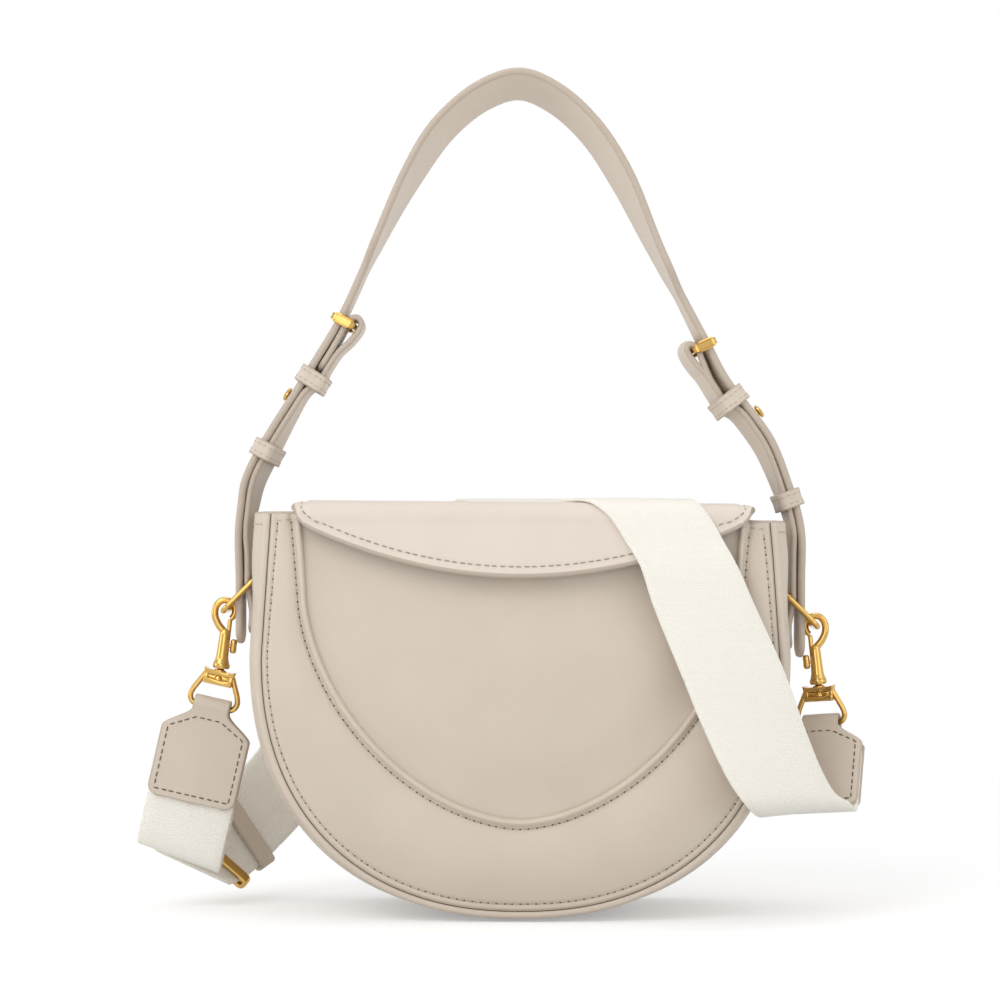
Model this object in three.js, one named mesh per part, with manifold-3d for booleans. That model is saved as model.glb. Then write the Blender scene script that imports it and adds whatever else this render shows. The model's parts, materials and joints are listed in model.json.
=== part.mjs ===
// Crescent shoulder bag with a front flap, a buckled top handle and a webbing shoulder strap on snap hooks.
// Millimetres, +Z up, the front faces -Y, origin at the middle of the flat foot.
import * as THREE from 'three';
import { mergeVertices } from 'three/addons/utils/BufferGeometryUtils.js';
import loadManifold from 'manifold-3d';

const wasm = await loadManifold();
wasm.setup();

// Clearance between pieces that touch
const GAP = 0.3;

// Bag body
const BODY_HALF_WIDTH = 113;
const TOP_HALF_WIDTH = 109;
const BODY_TOP = 170.6;
const WIDEST_HEIGHT = 110;
const OUTLINE_POWER = 2.25;
const FOOT_CUT = 1;
const GUSSET_DEPTH = 72;
const GUSSET_WALL = 2.2;
const GUSSET_BULGE = 4.5;
const PIPING_RADIUS = 1.8;
const PANEL_WALL = 2;
const PANEL_DOME = 5;
const TOP_FLATTENING = 0.7;
const LINING_WALL = 1.2;
const LINING_DROP = 1.5;

// Padded crescent on the front
const CRESCENT_PAD = 3.8;
const CRESCENT_BEAD = 4;
const CRESCENT_EDGE = 1.6;
const CRESCENT_INNER_HALF_WIDTH = 89;
const CRESCENT_INNER_FLARE = 2;
const CRESCENT_INNER_CENTRE = 138;
const CRESCENT_INNER_DROP = 95;

// Flap
const FLAP_HALF_WIDTH = 95;
const FLAP_REAR_HALF_WIDTH = 88;
const FLAP_TAPER_START_Y = 8;
const FLAP_TAPER_END_Y = -16;
const FLAP_THICKNESS = 3.3;
const FLAP_LEVEL = 174;
const FLAP_HINGE_Y = 39;
const FLAP_FRONT_Y = -50.2;
const FLAP_CORNER = 7;
const FLAP_CORNER_RISE = 10.5;
const FLAP_CORNER_SAG = 1.5;
const FLAP_TIP = 142.7;
const FLAP_SHOULDER = 161.5;
const FLAP_SHOULDER_HALF = 86;
const FLAP_LINING_WALL = 1;
const FLAP_LINING_MARGIN = 3;
const FLAP_LINING_SETBACK = 4;
const SNAP_RADIUS = 8;
const SNAP_THICKNESS = 1.4;
const SNAP_HEIGHT = 151;

// Handle and its side straps
const STRAP_WIDTH = 16;
const HANDLE_WIDTH = 28;
const HANDLE_THICKNESS = 3.2;
const TAB_THICKNESS = 2.6;
const HANDLE_HINGE_Z = 163;
const TAPER_START = 12;
const TAPER_END = 38;
const TAIL_STANDOFF = 9.25;
const TAIL_END = 116;
const TAB_SEAT_LENGTH = 8;
const TAB_STEP = 8;
const BUCKLE_HEIGHT = { left: 253.4, right: 242.5 };
const BUCKLE_LENGTH = 4.5;
const BUCKLE_WALL = 2.4;
const TAB_LOOP_REACH = 4.6;
const TAB_LOOP_HALF = 3.4;
const UPPER_KEEPER_DROP = 28;
const LOWER_KEEPER_DROP = { left: 66, right: 77 };
const STUD_DROP = { left: 39, right: 37 };
const KEEPER_LENGTH = 7;
const KEEPER_WALL = 1.3;
const STUD_RADIUS = 3;
const STUD_HEIGHT = 6;

// Side rings and snap hooks
const RING_BAR_Z = { left: 142.6, right: 135.8 };
const RING_WIRE = 2.5;
const RING_REACH = 19.8;
const RING_SLOPE = 45;
const RING_SIDE_PLAY = 1.2;
const HOOK_TILT = { left: 7, right: -6 };
const HOOK_BORE = 2.8;
const HOOK_WIRE = 1.95;
const HOOK_SEAT = 0.7;
const HOOK_THICKNESS = 3;
const HOOK_GATE_X = 2.6;
const BARREL_TOP = -11;
const BARREL_END = -25;
const BARREL_RADIUS = 3.5;
const BARREL_X = 1.2;
const BOLT_BORE = 1.35;
const BOLT_RADIUS = 1;
const BOLT_TOP = -3.4;
const BOLT_END = -16;
const BOLT_TRAVEL = 4.2;
const KNOB_Z = -14.9;
const KNOB_STEM = 0.8;
const KNOB_HEAD = 1.6;
const KNOB_REACH = 8.2;
const SPRING_END = -21.8;
const SPRING_TURNS = 5;
const SPRING_WIRE = 0.22;

// Swivel eyes and chapes
const EYE_TILT = { left: 6, right: 1 };
const EYE_TURN = { left: 0, right: -22 };
const CHAPE_PITCH = { left: 0, right: 36 };
const EYE_TOP_WIDTH = 13.4;
const EYE_BAR_WIDTH = 21;
const EYE_LIMB = 2.2;
const EYE_THICKNESS = 3;
const EYE_SHOULDER = -2;
const EYE_LENGTH = 16;
const EYE_BAR = 2.7;
const POST_RADIUS = 1.2;
const POST_HOLE = 1.8;
const POST_HEIGHT = 1.8;
const CHAPE_PLY = 1.6;
const CHAPE_BORE = 2.3;
const CHAPE_NECK = 14.2;
const CHAPE_WIDTH = 38;
const CHAPE_NECK_DROP = 5;
const CHAPE_SHOULDER_DROP = 14;
const CHAPE_DROP = 42;
const CHAPE_CORNER = 4;

// Webbing of the shoulder strap
const WEBBING_WIDTH = 40;
const WEBBING_THICKNESS = 1.8;
const WEBBING_IN_CHAPE = 26;
const LOOP_DROP = 67;
const LOOP_SKEW = 2.5;
const LOOP_DEPTH = 9;
const LOOP_RISE = 26;
const FOLD_DEPTH = 6.4;
const WEBBING_PLAY = 1.5;
const SLIDER_WALL = 2.4;
const SLIDER_LENGTH = 5;
const WEBBING_KEEPER_WALL = 1.6;
const WEBBING_KEEPER_LENGTH = 8;

const COLOURS = {
  leather: { color: 0xd2c3b1, roughness: 0.45, metalness: 0 },
  lining: { color: 0x2a2623, roughness: 0.8, metalness: 0 },
  gold: { color: 0xc9a45a, roughness: 0.22, metalness: 1 },
  steel: { color: 0xb9bcc0, roughness: 0.3, metalness: 1 },
  webbing: { color: 0xf0ebe0, roughness: 0.85, metalness: 0 },
};

const bag = new THREE.Group();
const SIDES = ['left', 'right'];
const sign = (side) => (side === 'left' ? -1 : 1);
const vec = (x, y, z) => new THREE.Vector3(x, y, z);
const turn = THREE.MathUtils.degToRad;

function place(name, geometry, finish, parent = bag) {
  const mesh = new THREE.Mesh(geometry, new THREE.MeshStandardMaterial(COLOURS[finish]));
  mesh.name = name;
  parent.add(mesh);
  return mesh;
}

// Closed bodies swept through rings of points

function capTriangles(ring) {
  const normal = vec(0, 0, 0);
  ring.forEach((p, i) => normal.add(p.clone().cross(ring[(i + 1) % ring.length])));
  normal.normalize();
  const across = ring[1].clone().sub(ring[0]).normalize();
  const up = normal.clone().cross(across);
  const flat = ring.map((p) => new THREE.Vector2(p.dot(across), p.dot(up)));
  return THREE.ShapeUtils.triangulateShape(flat, []).map((t) => orient(t, flat));
}

function orient([a, b, c], flat) {
  const area = THREE.ShapeUtils.area([flat[a], flat[b], flat[c]]);
  return area > 0 ? [a, b, c] : [a, c, b];
}

function loft(rings) {
  const size = rings[0].length;
  const last = (rings.length - 1) * size;
  const index = [];
  for (let i = 0; i < last; i += size) {
    for (let j = 0; j < size; j += 1) {
      const next = (j + 1) % size;
      index.push(i + j, i + next, i + size + next, i + j, i + size + next, i + size + j);
    }
  }
  capTriangles(rings[0]).forEach(([a, b, c]) => index.push(a, c, b));
  capTriangles(rings.at(-1)).forEach(([a, b, c]) => index.push(last + a, last + b, last + c));
  const points = rings.flat();
  let volume = 0;
  for (let i = 0; i < index.length; i += 3) {
    const [a, b, c] = index.slice(i, i + 3).map((k) => points[k]);
    volume += a.dot(b.clone().cross(c));
  }
  if (volume < 0) index.reverse();
  const geometry = new THREE.BufferGeometry().setFromPoints(points);
  geometry.setIndex(index);
  return geometry;
}

// A flat strap between two edge lines
function band(left, right, thickness) {
  const middle = left.map((p, i) => p.clone().lerp(right[i], 0.5));
  const rings = left.map((p, i) => {
    const before = middle[Math.max(i - 1, 0)];
    const after = middle[Math.min(i + 1, middle.length - 1)];
    const across = right[i].clone().sub(p);
    const out = after.clone().sub(before).cross(across).setLength(thickness / 2);
    const edges = [p.clone().add(out), right[i].clone().add(out)];
    return [...edges, right[i].clone().sub(out), p.clone().sub(out)];
  });
  return loft(rings);
}

function smooth(points, steps) {
  return new THREE.CatmullRomCurve3(points, false, 'centripetal').getPoints(steps);
}

// A strap in the plane of the front view, with its width along Y
function sideStrap(centres, widthAt, thickness) {
  const half = centres.map((p, i) => widthAt(i / (centres.length - 1)) / 2);
  const left = centres.map((p, i) => p.clone().add(vec(0, -half[i], 0)));
  const right = centres.map((p, i) => p.clone().add(vec(0, half[i], 0)));
  return band(left, right, thickness);
}

// Joining and cutting

function toSolid(geometry) {
  const bare = geometry.clone();
  bare.deleteAttribute('normal');
  bare.deleteAttribute('uv');
  const merged = mergeVertices(bare, 1e-4);
  const vertProperties = new Float32Array(merged.attributes.position.array);
  const triVerts = new Uint32Array(merged.index.array);
  return new wasm.Manifold(new wasm.Mesh({ numProp: 3, vertProperties, triVerts }));
}

function toGeometry(solid) {
  const { vertProperties, triVerts } = solid.getMesh();
  const geometry = new THREE.BufferGeometry();
  geometry.setAttribute('position', new THREE.BufferAttribute(vertProperties, 3));
  geometry.setIndex(new THREE.BufferAttribute(triVerts, 1));
  return geometry;
}

// A front view outline (x, z) made solid between two depths
function plate(shape, front, back, curveSegments = 10) {
  const options = { depth: back - front, bevelEnabled: false, curveSegments };
  return new THREE.ExtrudeGeometry(shape, options).rotateX(Math.PI / 2).translate(0, back, 0);
}

// A side view outline (y, z) made solid across a width centred on x = 0
function slab(shape, width, curveSegments = 8) {
  const geometry = new THREE.ExtrudeGeometry(shape, { depth: width, bevelEnabled: false, curveSegments });
  geometry.translate(0, 0, -width / 2);
  const sideways = new THREE.Matrix4().makeBasis(vec(0, 1, 0), vec(0, 0, 1), vec(1, 0, 0));
  return geometry.applyMatrix4(sideways);
}

function roundedRect(shape, x0, y0, x1, y1, radius) {
  shape.moveTo(x0 + radius, y0);
  shape.lineTo(x1 - radius, y0);
  shape.quadraticCurveTo(x1, y0, x1, y0 + radius);
  shape.lineTo(x1, y1 - radius);
  shape.quadraticCurveTo(x1, y1, x1 - radius, y1);
  shape.lineTo(x0 + radius, y1);
  shape.quadraticCurveTo(x0, y1, x0, y1 - radius);
  shape.lineTo(x0, y0 + radius);
  shape.quadraticCurveTo(x0, y0, x0 + radius, y0);
  return shape;
}

// A rectangular frame with a rectangular hole, centred in its own depth
function frameSolid(hole, walls, depth, radius) {
  const [x0, y0, x1, y1] = hole;
  const [left, low, right, high] = walls;
  const shape = roundedRect(new THREE.Shape(), x0 - left, y0 - low, x1 + right, y1 + high, radius);
  shape.holes.push(roundedRect(new THREE.Path(), x0, y0, x1, y1, radius / 3));
  const geometry = new THREE.ExtrudeGeometry(shape, { depth, bevelEnabled: false, curveSegments: 3 });
  return geometry.translate(0, 0, -depth / 2);
}

function rod(radius, low, high, sides = 12) {
  const geometry = new THREE.CylinderGeometry(radius, radius, high - low, sides);
  return geometry.rotateX(Math.PI / 2).translate(0, 0, (low + high) / 2);
}

// Body outline: down the left side, round the bottom and up the right side

function halfWidthAbove(z) {
  const rise = (z - WIDEST_HEIGHT) / (BODY_TOP - WIDEST_HEIGHT);
  return THREE.MathUtils.lerp(BODY_HALF_WIDTH, TOP_HALF_WIDTH, rise);
}

function outline(inset, top = BODY_TOP) {
  const points = [];
  const straight = [1, 0.5];
  straight.forEach((rise) => {
    const z = THREE.MathUtils.lerp(WIDEST_HEIGHT, top, rise);
    points.push(vec(inset - halfWidthAbove(z), 0, z));
  });
  const steps = 30;
  for (let i = 0; i <= steps; i += 1) {
    const angle = (Math.PI * i) / steps;
    const across = Math.sign(Math.cos(angle)) * Math.abs(Math.cos(angle)) ** (2 / OUTLINE_POWER);
    const down = Math.sin(angle) ** (2 / OUTLINE_POWER);
    const z = WIDEST_HEIGHT - (WIDEST_HEIGHT + FOOT_CUT - inset) * down;
    points.push(vec((inset - BODY_HALF_WIDTH) * across, 0, Math.max(z, 0)));
  }
  straight.reverse().forEach((rise) => {
    const z = THREE.MathUtils.lerp(WIDEST_HEIGHT, top, rise);
    points.push(vec(halfWidthAbove(z) - inset, 0, z));
  });
  return points;
}

function outlineShape(inset, top) {
  return new THREE.Shape(outline(inset, top).map((p) => new THREE.Vector2(p.x, p.z)));
}

const GUSSET_EDGE = GUSSET_DEPTH / 2;
const SEAM_INSET = GUSSET_BULGE - PIPING_RADIUS / 2 + 2 * PIPING_RADIUS - GUSSET_WALL;
const PANEL_OUT = GUSSET_EDGE + PANEL_WALL + GAP + 1;
const BACK_TOP = FLAP_LEVEL - FLAP_THICKNESS / 2 - GAP;

// Half width of a panel at a height, and how far the panel stands out there
function panelHalfWidth(z) {
  if (z >= WIDEST_HEIGHT) return halfWidthAbove(z) - SEAM_INSET;
  const drop = (WIDEST_HEIGHT - z) / (WIDEST_HEIGHT + FOOT_CUT - SEAM_INSET);
  return (BODY_HALF_WIDTH - SEAM_INSET) * (1 - drop ** OUTLINE_POWER) ** (1 / OUTLINE_POWER);
}

function panelOut(x, z) {
  const rise = THREE.MathUtils.smoothstep(z, WIDEST_HEIGHT, BODY_TOP);
  const low = Math.max(WIDEST_HEIGHT - z, 0) / (WIDEST_HEIGHT + FOOT_CUT - SEAM_INSET);
  const wide = Math.abs(x) / panelHalfWidth(Math.max(z, WIDEST_HEIGHT));
  const radial = (wide ** OUTLINE_POWER + low ** OUTLINE_POWER) ** (2 / OUTLINE_POWER);
  return PANEL_OUT + PANEL_DOME * (1 - TOP_FLATTENING * rise) * Math.max(1 - radial, 0);
}

function makeGusset() {
  const section = [
    [-GUSSET_EDGE, GUSSET_BULGE], [-GUSSET_EDGE * 0.82, GUSSET_BULGE * 0.3], [-GUSSET_EDGE * 0.5, 0],
    [GUSSET_EDGE * 0.5, 0], [GUSSET_EDGE * 0.82, GUSSET_BULGE * 0.3], [GUSSET_EDGE, GUSSET_BULGE],
  ];
  const inner = section.map(([y, inset]) => [y, inset + GUSSET_WALL]).reverse();
  const lines = [...section, ...inner].map(([y, inset]) => outline(inset).map((p) => vec(p.x, y, p.z)));
  return loft(lines[0].map((p, i) => lines.map((line) => line[i])));
}

function makePanel(side, top) {
  const rows = 14;
  const columns = 10;
  const bottom = WIDEST_HEIGHT - (WIDEST_HEIGHT + FOOT_CUT - SEAM_INSET) * 0.995;
  const rings = [];
  for (let i = 0; i <= rows; i += 1) {
    const z = THREE.MathUtils.lerp(bottom, top, (i / rows) ** 1.5);
    const half = panelHalfWidth(z);
    const xs = Array.from({ length: columns + 1 }, (unused, j) => half * ((2 * j) / columns - 1));
    const outer = xs.map((x) => vec(x, side * panelOut(x, z), z));
    const inner = xs.map((x) => vec(x, side * (panelOut(x, z) - PANEL_WALL), z)).reverse();
    rings.push([...outer, ...inner]);
  }
  return loft(rings);
}

// Inner edge of the crescent, point for point with the body outline
function crescentInner(count) {
  const points = [];
  const straight = 3;
  const curved = count - 2 * straight;
  for (let i = 0; i < straight; i += 1) {
    const rise = 1 - i / straight;
    const z = THREE.MathUtils.lerp(CRESCENT_INNER_CENTRE, BODY_TOP, rise);
    points.push(vec(-CRESCENT_INNER_HALF_WIDTH - CRESCENT_INNER_FLARE * rise, 0, z));
  }
  for (let i = 0; i < curved; i += 1) {
    const angle = (Math.PI * i) / (curved - 1);
    const x = -CRESCENT_INNER_HALF_WIDTH * Math.cos(angle);
    points.push(vec(x, 0, CRESCENT_INNER_CENTRE - CRESCENT_INNER_DROP * Math.sin(angle)));
  }
  const mirrored = points.slice(0, straight).map((p) => vec(-p.x, 0, p.z));
  return [...points, ...mirrored.reverse()];
}

function makeCrescent() {
  const outer = outline(SEAM_INSET);
  const inner = crescentInner(outer.length);
  const section = [
    [0, CRESCENT_EDGE], [0.12, 0.7 * CRESCENT_PAD], [0.5, CRESCENT_PAD], [0.86, 0.85 * CRESCENT_PAD],
    [0.94, CRESCENT_BEAD], [1, CRESCENT_EDGE], [1, 0], [0.5, 0], [0, 0],
  ];
  const rings = outer.map((p, i) => section.map(([share, lift]) => {
    const q = p.clone().lerp(inner[i], share);
    return vec(q.x, -panelOut(q.x, q.z) - GAP - lift, q.z);
  }));
  return loft(rings);
}

function makePiping(side) {
  const inset = GUSSET_BULGE - PIPING_RADIUS / 2 + PIPING_RADIUS - GUSSET_WALL - GAP;
  const y = side * (GUSSET_EDGE + PIPING_RADIUS + GAP);
  const path = new THREE.CatmullRomCurve3(outline(inset).map((p) => vec(p.x, y, p.z)), false, 'centripetal');
  const section = new THREE.Shape().absarc(0, 0, PIPING_RADIUS, 0, 2 * Math.PI);
  return new THREE.ExtrudeGeometry(section, { steps: 40, extrudePath: path, curveSegments: 4 });
}

function makeLining() {
  const half = PANEL_OUT - PANEL_WALL - GAP;
  const inset = GUSSET_BULGE + GUSSET_WALL + GAP;
  const top = BODY_TOP - LINING_DROP;
  const outer = toSolid(plate(outlineShape(inset, top), -half, half));
  const roomShape = outlineShape(inset + LINING_WALL, top + 2 * LINING_DROP);
  const room = plate(roomShape, LINING_WALL - half, half - LINING_WALL);
  return toGeometry(outer.subtract(toSolid(room)));
}

// Flap: a side profile cut to the curved front outline

function flapProfile(depth, thickness, rear) {
  const half = thickness / 2;
  const level = FLAP_LEVEL - depth;
  const front = FLAP_FRONT_Y + depth;
  const corner = FLAP_CORNER - depth;
  const below = FLAP_TIP - 20;
  const shape = new THREE.Shape();
  shape.moveTo(rear, level + half);
  shape.lineTo(front + corner, level + half);
  shape.absarc(front + corner, level - corner, corner + half, Math.PI / 2, Math.PI, false);
  shape.lineTo(front - half, below);
  shape.lineTo(front + half, below);
  shape.absarc(front + corner, level - corner, corner - half, Math.PI, Math.PI / 2, true);
  shape.lineTo(rear, level - half);
  shape.absarc(rear, level, half, -Math.PI / 2, Math.PI / 2, false);
  return shape;
}

function flapOutline(margin) {
  const half = FLAP_HALF_WIDTH - margin;
  const shoulder = FLAP_SHOULDER + margin;
  const shoulderHalf = FLAP_SHOULDER_HALF - margin;
  const tip = FLAP_TIP + margin;
  const above = FLAP_LEVEL + 20;
  const cornerTop = FLAP_SHOULDER + FLAP_CORNER_RISE;
  const bend = (shoulder + cornerTop) / 2 - FLAP_CORNER_SAG;
  const shape = new THREE.Shape();
  shape.moveTo(-half, above);
  shape.lineTo(-half, cornerTop);
  shape.quadraticCurveTo(-half, bend, -shoulderHalf, shoulder);
  shape.quadraticCurveTo(0, 2 * tip - shoulder, shoulderHalf, shoulder);
  shape.quadraticCurveTo(half, bend, half, cornerTop);
  shape.lineTo(half, above);
  return shape;
}

// Top view of the flap: narrower at the back, so that it passes between the handle's straps
function flapPlan(margin) {
  const reach = 2 * Math.abs(FLAP_FRONT_Y);
  const half = FLAP_HALF_WIDTH - margin;
  const rearHalf = FLAP_REAR_HALF_WIDTH - margin;
  const side = [[half, -reach], [half, FLAP_TAPER_END_Y], [rearHalf, FLAP_TAPER_START_Y], [rearHalf, reach]];
  const points = [...side, ...side.map(([x, y]) => [-x, y]).reverse()];
  const shape = new THREE.Shape(points.map(([x, y]) => new THREE.Vector2(x, y)));
  return new THREE.ExtrudeGeometry(shape, { depth: 2 * FLAP_LEVEL, bevelEnabled: false });
}

function makeFlap(depth, thickness, rear, margin) {
  const reach = 2 * Math.abs(FLAP_FRONT_Y);
  const folded = toSolid(slab(flapProfile(depth, thickness, rear), 2.2 * FLAP_HALF_WIDTH, 6));
  const front = toSolid(plate(flapOutline(margin), -reach, reach));
  return toGeometry(folded.intersect(front).intersect(toSolid(flapPlan(margin))));
}

const FLAP_LINING_DEPTH = FLAP_THICKNESS / 2 + GAP + FLAP_LINING_WALL / 2;
const SNAP_FRONT = panelOut(0, SNAP_HEIGHT - SNAP_RADIUS) + GAP + SNAP_THICKNESS / 2;
const SNAP_FLAP = -FLAP_FRONT_Y - FLAP_LINING_DEPTH - FLAP_LINING_WALL / 2 - GAP - SNAP_THICKNESS / 2;

function makeSnap(out) {
  const disc = new THREE.CylinderGeometry(SNAP_RADIUS, SNAP_RADIUS, SNAP_THICKNESS, 20);
  return disc.translate(0, -out, SNAP_HEIGHT);
}

place('front_panel', makePanel(-1, BODY_TOP), 'leather');
place('back_panel', makePanel(1, BACK_TOP), 'leather');
place('gusset', makeGusset(), 'leather');
place('front_crescent', makeCrescent(), 'leather');
place('front_piping', makePiping(-1), 'leather');
place('back_piping', makePiping(1), 'leather');
place('lining', makeLining(), 'lining');
place('front_snap', makeSnap(SNAP_FRONT), 'gold');
place('flap', makeFlap(0, FLAP_THICKNESS, FLAP_HINGE_Y, 0), 'leather');
const liningRear = FLAP_HINGE_Y - FLAP_LINING_SETBACK;
const flapLining = makeFlap(FLAP_LINING_DEPTH, FLAP_LINING_WALL, liningRear, FLAP_LINING_MARGIN);
place('flap_lining', flapLining, 'lining');
place('flap_snap', makeSnap(SNAP_FLAP), 'gold');

// Tails hang outside the rings' inner bars
const tailX = (side) => [side, halfWidthAbove(RING_BAR_Z[side]) + TAIL_STANDOFF];
const TAIL_X = Object.fromEntries(SIDES.map(tailX));

// Handle strap: each half of its middle line in the front view, from the bending line up,
// as shares of the tail's distance from the middle and as heights
const HANDLE_TOP = vec(0, 0, 355.5);
const HANDLE_HALF = {
  left: [
    [1, HANDLE_HINGE_Z], [0.985, 178], [0.924, 196.6], [0.8235, 218], [0.641, 253.4],
    [0.521, 284.5], [0.3905, 315.5], [0.2756, 336.2], [0.133, 350.5],
  ],
  right: [
    [1, HANDLE_HINGE_Z], [0.9838, 172], [0.9316, 188], [0.846, 205], [0.7175, 226], [0.5998, 253.4],
    [0.4853, 284.5], [0.3625, 315.5], [0.253, 335.5], [0.1244, 349.5],
  ],
};
const handlePoint = (side, share, z) => vec(sign(side) * share * TAIL_X[side], 0, z);
const handleHalf = (side) => HANDLE_HALF[side].map(([share, z]) => handlePoint(side, share, z));
const handlePoints = [...handleHalf('left'), HANDLE_TOP, ...handleHalf('right').reverse()];
const HANDLE_LINE = new THREE.CatmullRomCurve3(handlePoints, false, 'centripetal');
HANDLE_LINE.arcLengthDivisions = 800;
const HANDLE_LENGTH = HANDLE_LINE.getLength();

// Distance along the handle line where a side's half passes a height
function arcAtHeight(side, height) {
  let low = side === 'left' ? 0 : HANDLE_LENGTH;
  let high = HANDLE_LENGTH / 2;
  for (let i = 0; i < 40; i += 1) {
    const middle = (low + high) / 2;
    if (HANDLE_LINE.getPointAt(middle / HANDLE_LENGTH).z < height) low = middle;
    else high = middle;
  }
  return low;
}

const buckleArc = (side) => [side, arcAtHeight(side, BUCKLE_HEIGHT[side])];
const BUCKLE_ARC = Object.fromEntries(SIDES.map(buckleArc));

// Place on the handle: a drop below the buckle and a distance inward from the strap's middle
function onHandle(side, drop, inward) {
  const arc = BUCKLE_ARC[side] + sign(side) * drop;
  const share = THREE.MathUtils.clamp(arc / HANDLE_LENGTH, 0, 1);
  const along = HANDLE_LINE.getTangentAt(share);
  const out = vec(-along.z, 0, along.x);
  return { point: HANDLE_LINE.getPointAt(share).addScaledVector(out, -inward), along, out };
}

// Sets a piece across the strap: its own x lies along Y, its y points out and its z runs along the strap
function acrossHandle(mesh, side, drop) {
  const { point, along, out } = onHandle(side, drop, 0);
  mesh.applyMatrix4(new THREE.Matrix4().makeBasis(vec(0, 1, 0), out, along).setPosition(point));
}

function handleWidth(share) {
  const arc = share * HANDLE_LENGTH;
  const above = Math.min(arc - BUCKLE_ARC.left, BUCKLE_ARC.right - arc);
  const widening = THREE.MathUtils.smoothstep(above, TAPER_START, TAPER_END);
  return STRAP_WIDTH + (HANDLE_WIDTH - STRAP_WIDTH) * widening;
}

// Round end of a strap at the bending line, so that it turns in its own plane
function roundEnd(line) {
  const rings = [];
  const steps = 4;
  for (let i = 1; i <= steps; i += 1) {
    const angle = (Math.PI / 2) * (i / (steps + 0.35));
    rings.push({ drop: (STRAP_WIDTH / 2) * Math.sin(angle), half: (STRAP_WIDTH / 2) * Math.cos(angle) });
  }
  const along = line[0].clone().sub(line[1]).normalize();
  return rings.map(({ drop, half }) => ({ centre: line[0].clone().addScaledVector(along, drop), half }));
}

function handleBand(line, widthAt, thickness, roundedFar) {
  const body = line.map((p, i) => ({ centre: p, half: widthAt(i / (line.length - 1)) / 2 }));
  const near = roundEnd(line).reverse();
  const far = roundedFar ? roundEnd([...line].reverse()) : [];
  const stations = [...near, ...body, ...far];
  const left = stations.map(({ centre, half }) => centre.clone().add(vec(0, -half, 0)));
  const right = stations.map(({ centre, half }) => centre.clone().add(vec(0, half, 0)));
  return band(left, right, thickness);
}

const handleStations = HANDLE_LINE.getSpacedPoints(72);
place('handle_strap', handleBand(handleStations, handleWidth, HANDLE_THICKNESS, true), 'leather');

// Layers inside the handle's tail, as distances inward from the tail's middle
const SECOND_LAYER = HANDLE_THICKNESS / 2 + GAP + TAB_THICKNESS / 2;
const THIRD_LAYER = SECOND_LAYER + TAB_THICKNESS + GAP;
const BUCKLE_BAR = SECOND_LAYER + TAB_LOOP_HALF;
const HINGE_CLEAR = STRAP_WIDTH / 2 + 4 * GAP;

function makeUpperTab(side) {
  const end = Math.abs(BUCKLE_ARC[side] - (side === 'left' ? 0 : HANDLE_LENGTH));
  const keeperEnd = UPPER_KEEPER_DROP + KEEPER_LENGTH / 2;
  const stepDown = keeperEnd + TAB_STEP;
  const count = Math.ceil((end - stepDown) / TAB_STEP);
  const dropAt = (_, i) => THREE.MathUtils.lerp(end, stepDown, i / count);
  const besideStrap = Array.from({ length: count + 1 }, dropAt);
  const route = [
    ...besideStrap.map((drop) => [drop, SECOND_LAYER]).slice(0, -1),
    [stepDown, SECOND_LAYER + 2 * GAP],
    [keeperEnd + 1, THIRD_LAYER], [UPPER_KEEPER_DROP - TAB_STEP, THIRD_LAYER],
    [TAB_STEP, BUCKLE_BAR + TAB_LOOP_HALF * 0.8], [0, BUCKLE_BAR + TAB_LOOP_HALF],
    [-TAB_LOOP_REACH * 0.75, BUCKLE_BAR + TAB_LOOP_HALF * 0.72], [-TAB_LOOP_REACH, BUCKLE_BAR],
    [-TAB_LOOP_REACH * 0.75, BUCKLE_BAR - TAB_LOOP_HALF * 0.72], [0, SECOND_LAYER],
    [TAB_STEP, SECOND_LAYER], [2 * TAB_STEP, SECOND_LAYER + GAP], [UPPER_KEEPER_DROP - 2, SECOND_LAYER],
  ];
  const points = route.map(([drop, inward]) => onHandle(side, drop, inward).point);
  return handleBand(smooth(points, 60), () => STRAP_WIDTH, TAB_THICKNESS, false);
}

function makeLowerTab(side) {
  const bar = RING_BAR_Z[side];
  const over = TAIL_X[side] - SECOND_LAYER - GAP;
  const seatTop = bar - RING_WIRE - TAB_SEAT_LENGTH * 1.5;
  const seat = (z) => halfWidthAbove(z) + GAP + TAB_THICKNESS / 2;
  const route = [
    [over, HANDLE_HINGE_Z - HINGE_CLEAR], [over, bar + RING_WIRE], [over, bar - RING_WIRE],
    [seat(seatTop), seatTop], [seat(seatTop - TAB_SEAT_LENGTH), seatTop - TAB_SEAT_LENGTH],
  ];
  const points = route.map(([x, z]) => vec(sign(side) * x, 0, z));
  return sideStrap(smooth(points, 16), () => STRAP_WIDTH, TAB_THICKNESS);
}

function makeTail(side) {
  const heights = [HANDLE_HINGE_Z - HINGE_CLEAR, TAIL_END];
  const ends = heights.map((z) => vec(sign(side) * TAIL_X[side], 0, z));
  return sideStrap(ends, () => STRAP_WIDTH, HANDLE_THICKNESS);
}

function keeperSolid(inward) {
  const half = STRAP_WIDTH / 2 + GAP;
  const play = 2 * GAP;
  const hole = [-half, -inward - TAB_THICKNESS / 2 - play, half, HANDLE_THICKNESS / 2 + play];
  return frameSolid(hole, Array(4).fill(KEEPER_WALL), KEEPER_LENGTH, 1.8);
}

function buckleSolid() {
  const half = STRAP_WIDTH / 2 + GAP;
  const hole = [-half, BUCKLE_WALL / 2 - BUCKLE_BAR, half, HANDLE_THICKNESS / 2 + GAP];
  return frameSolid(hole, Array(4).fill(BUCKLE_WALL), BUCKLE_LENGTH, 1.5);
}

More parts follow.
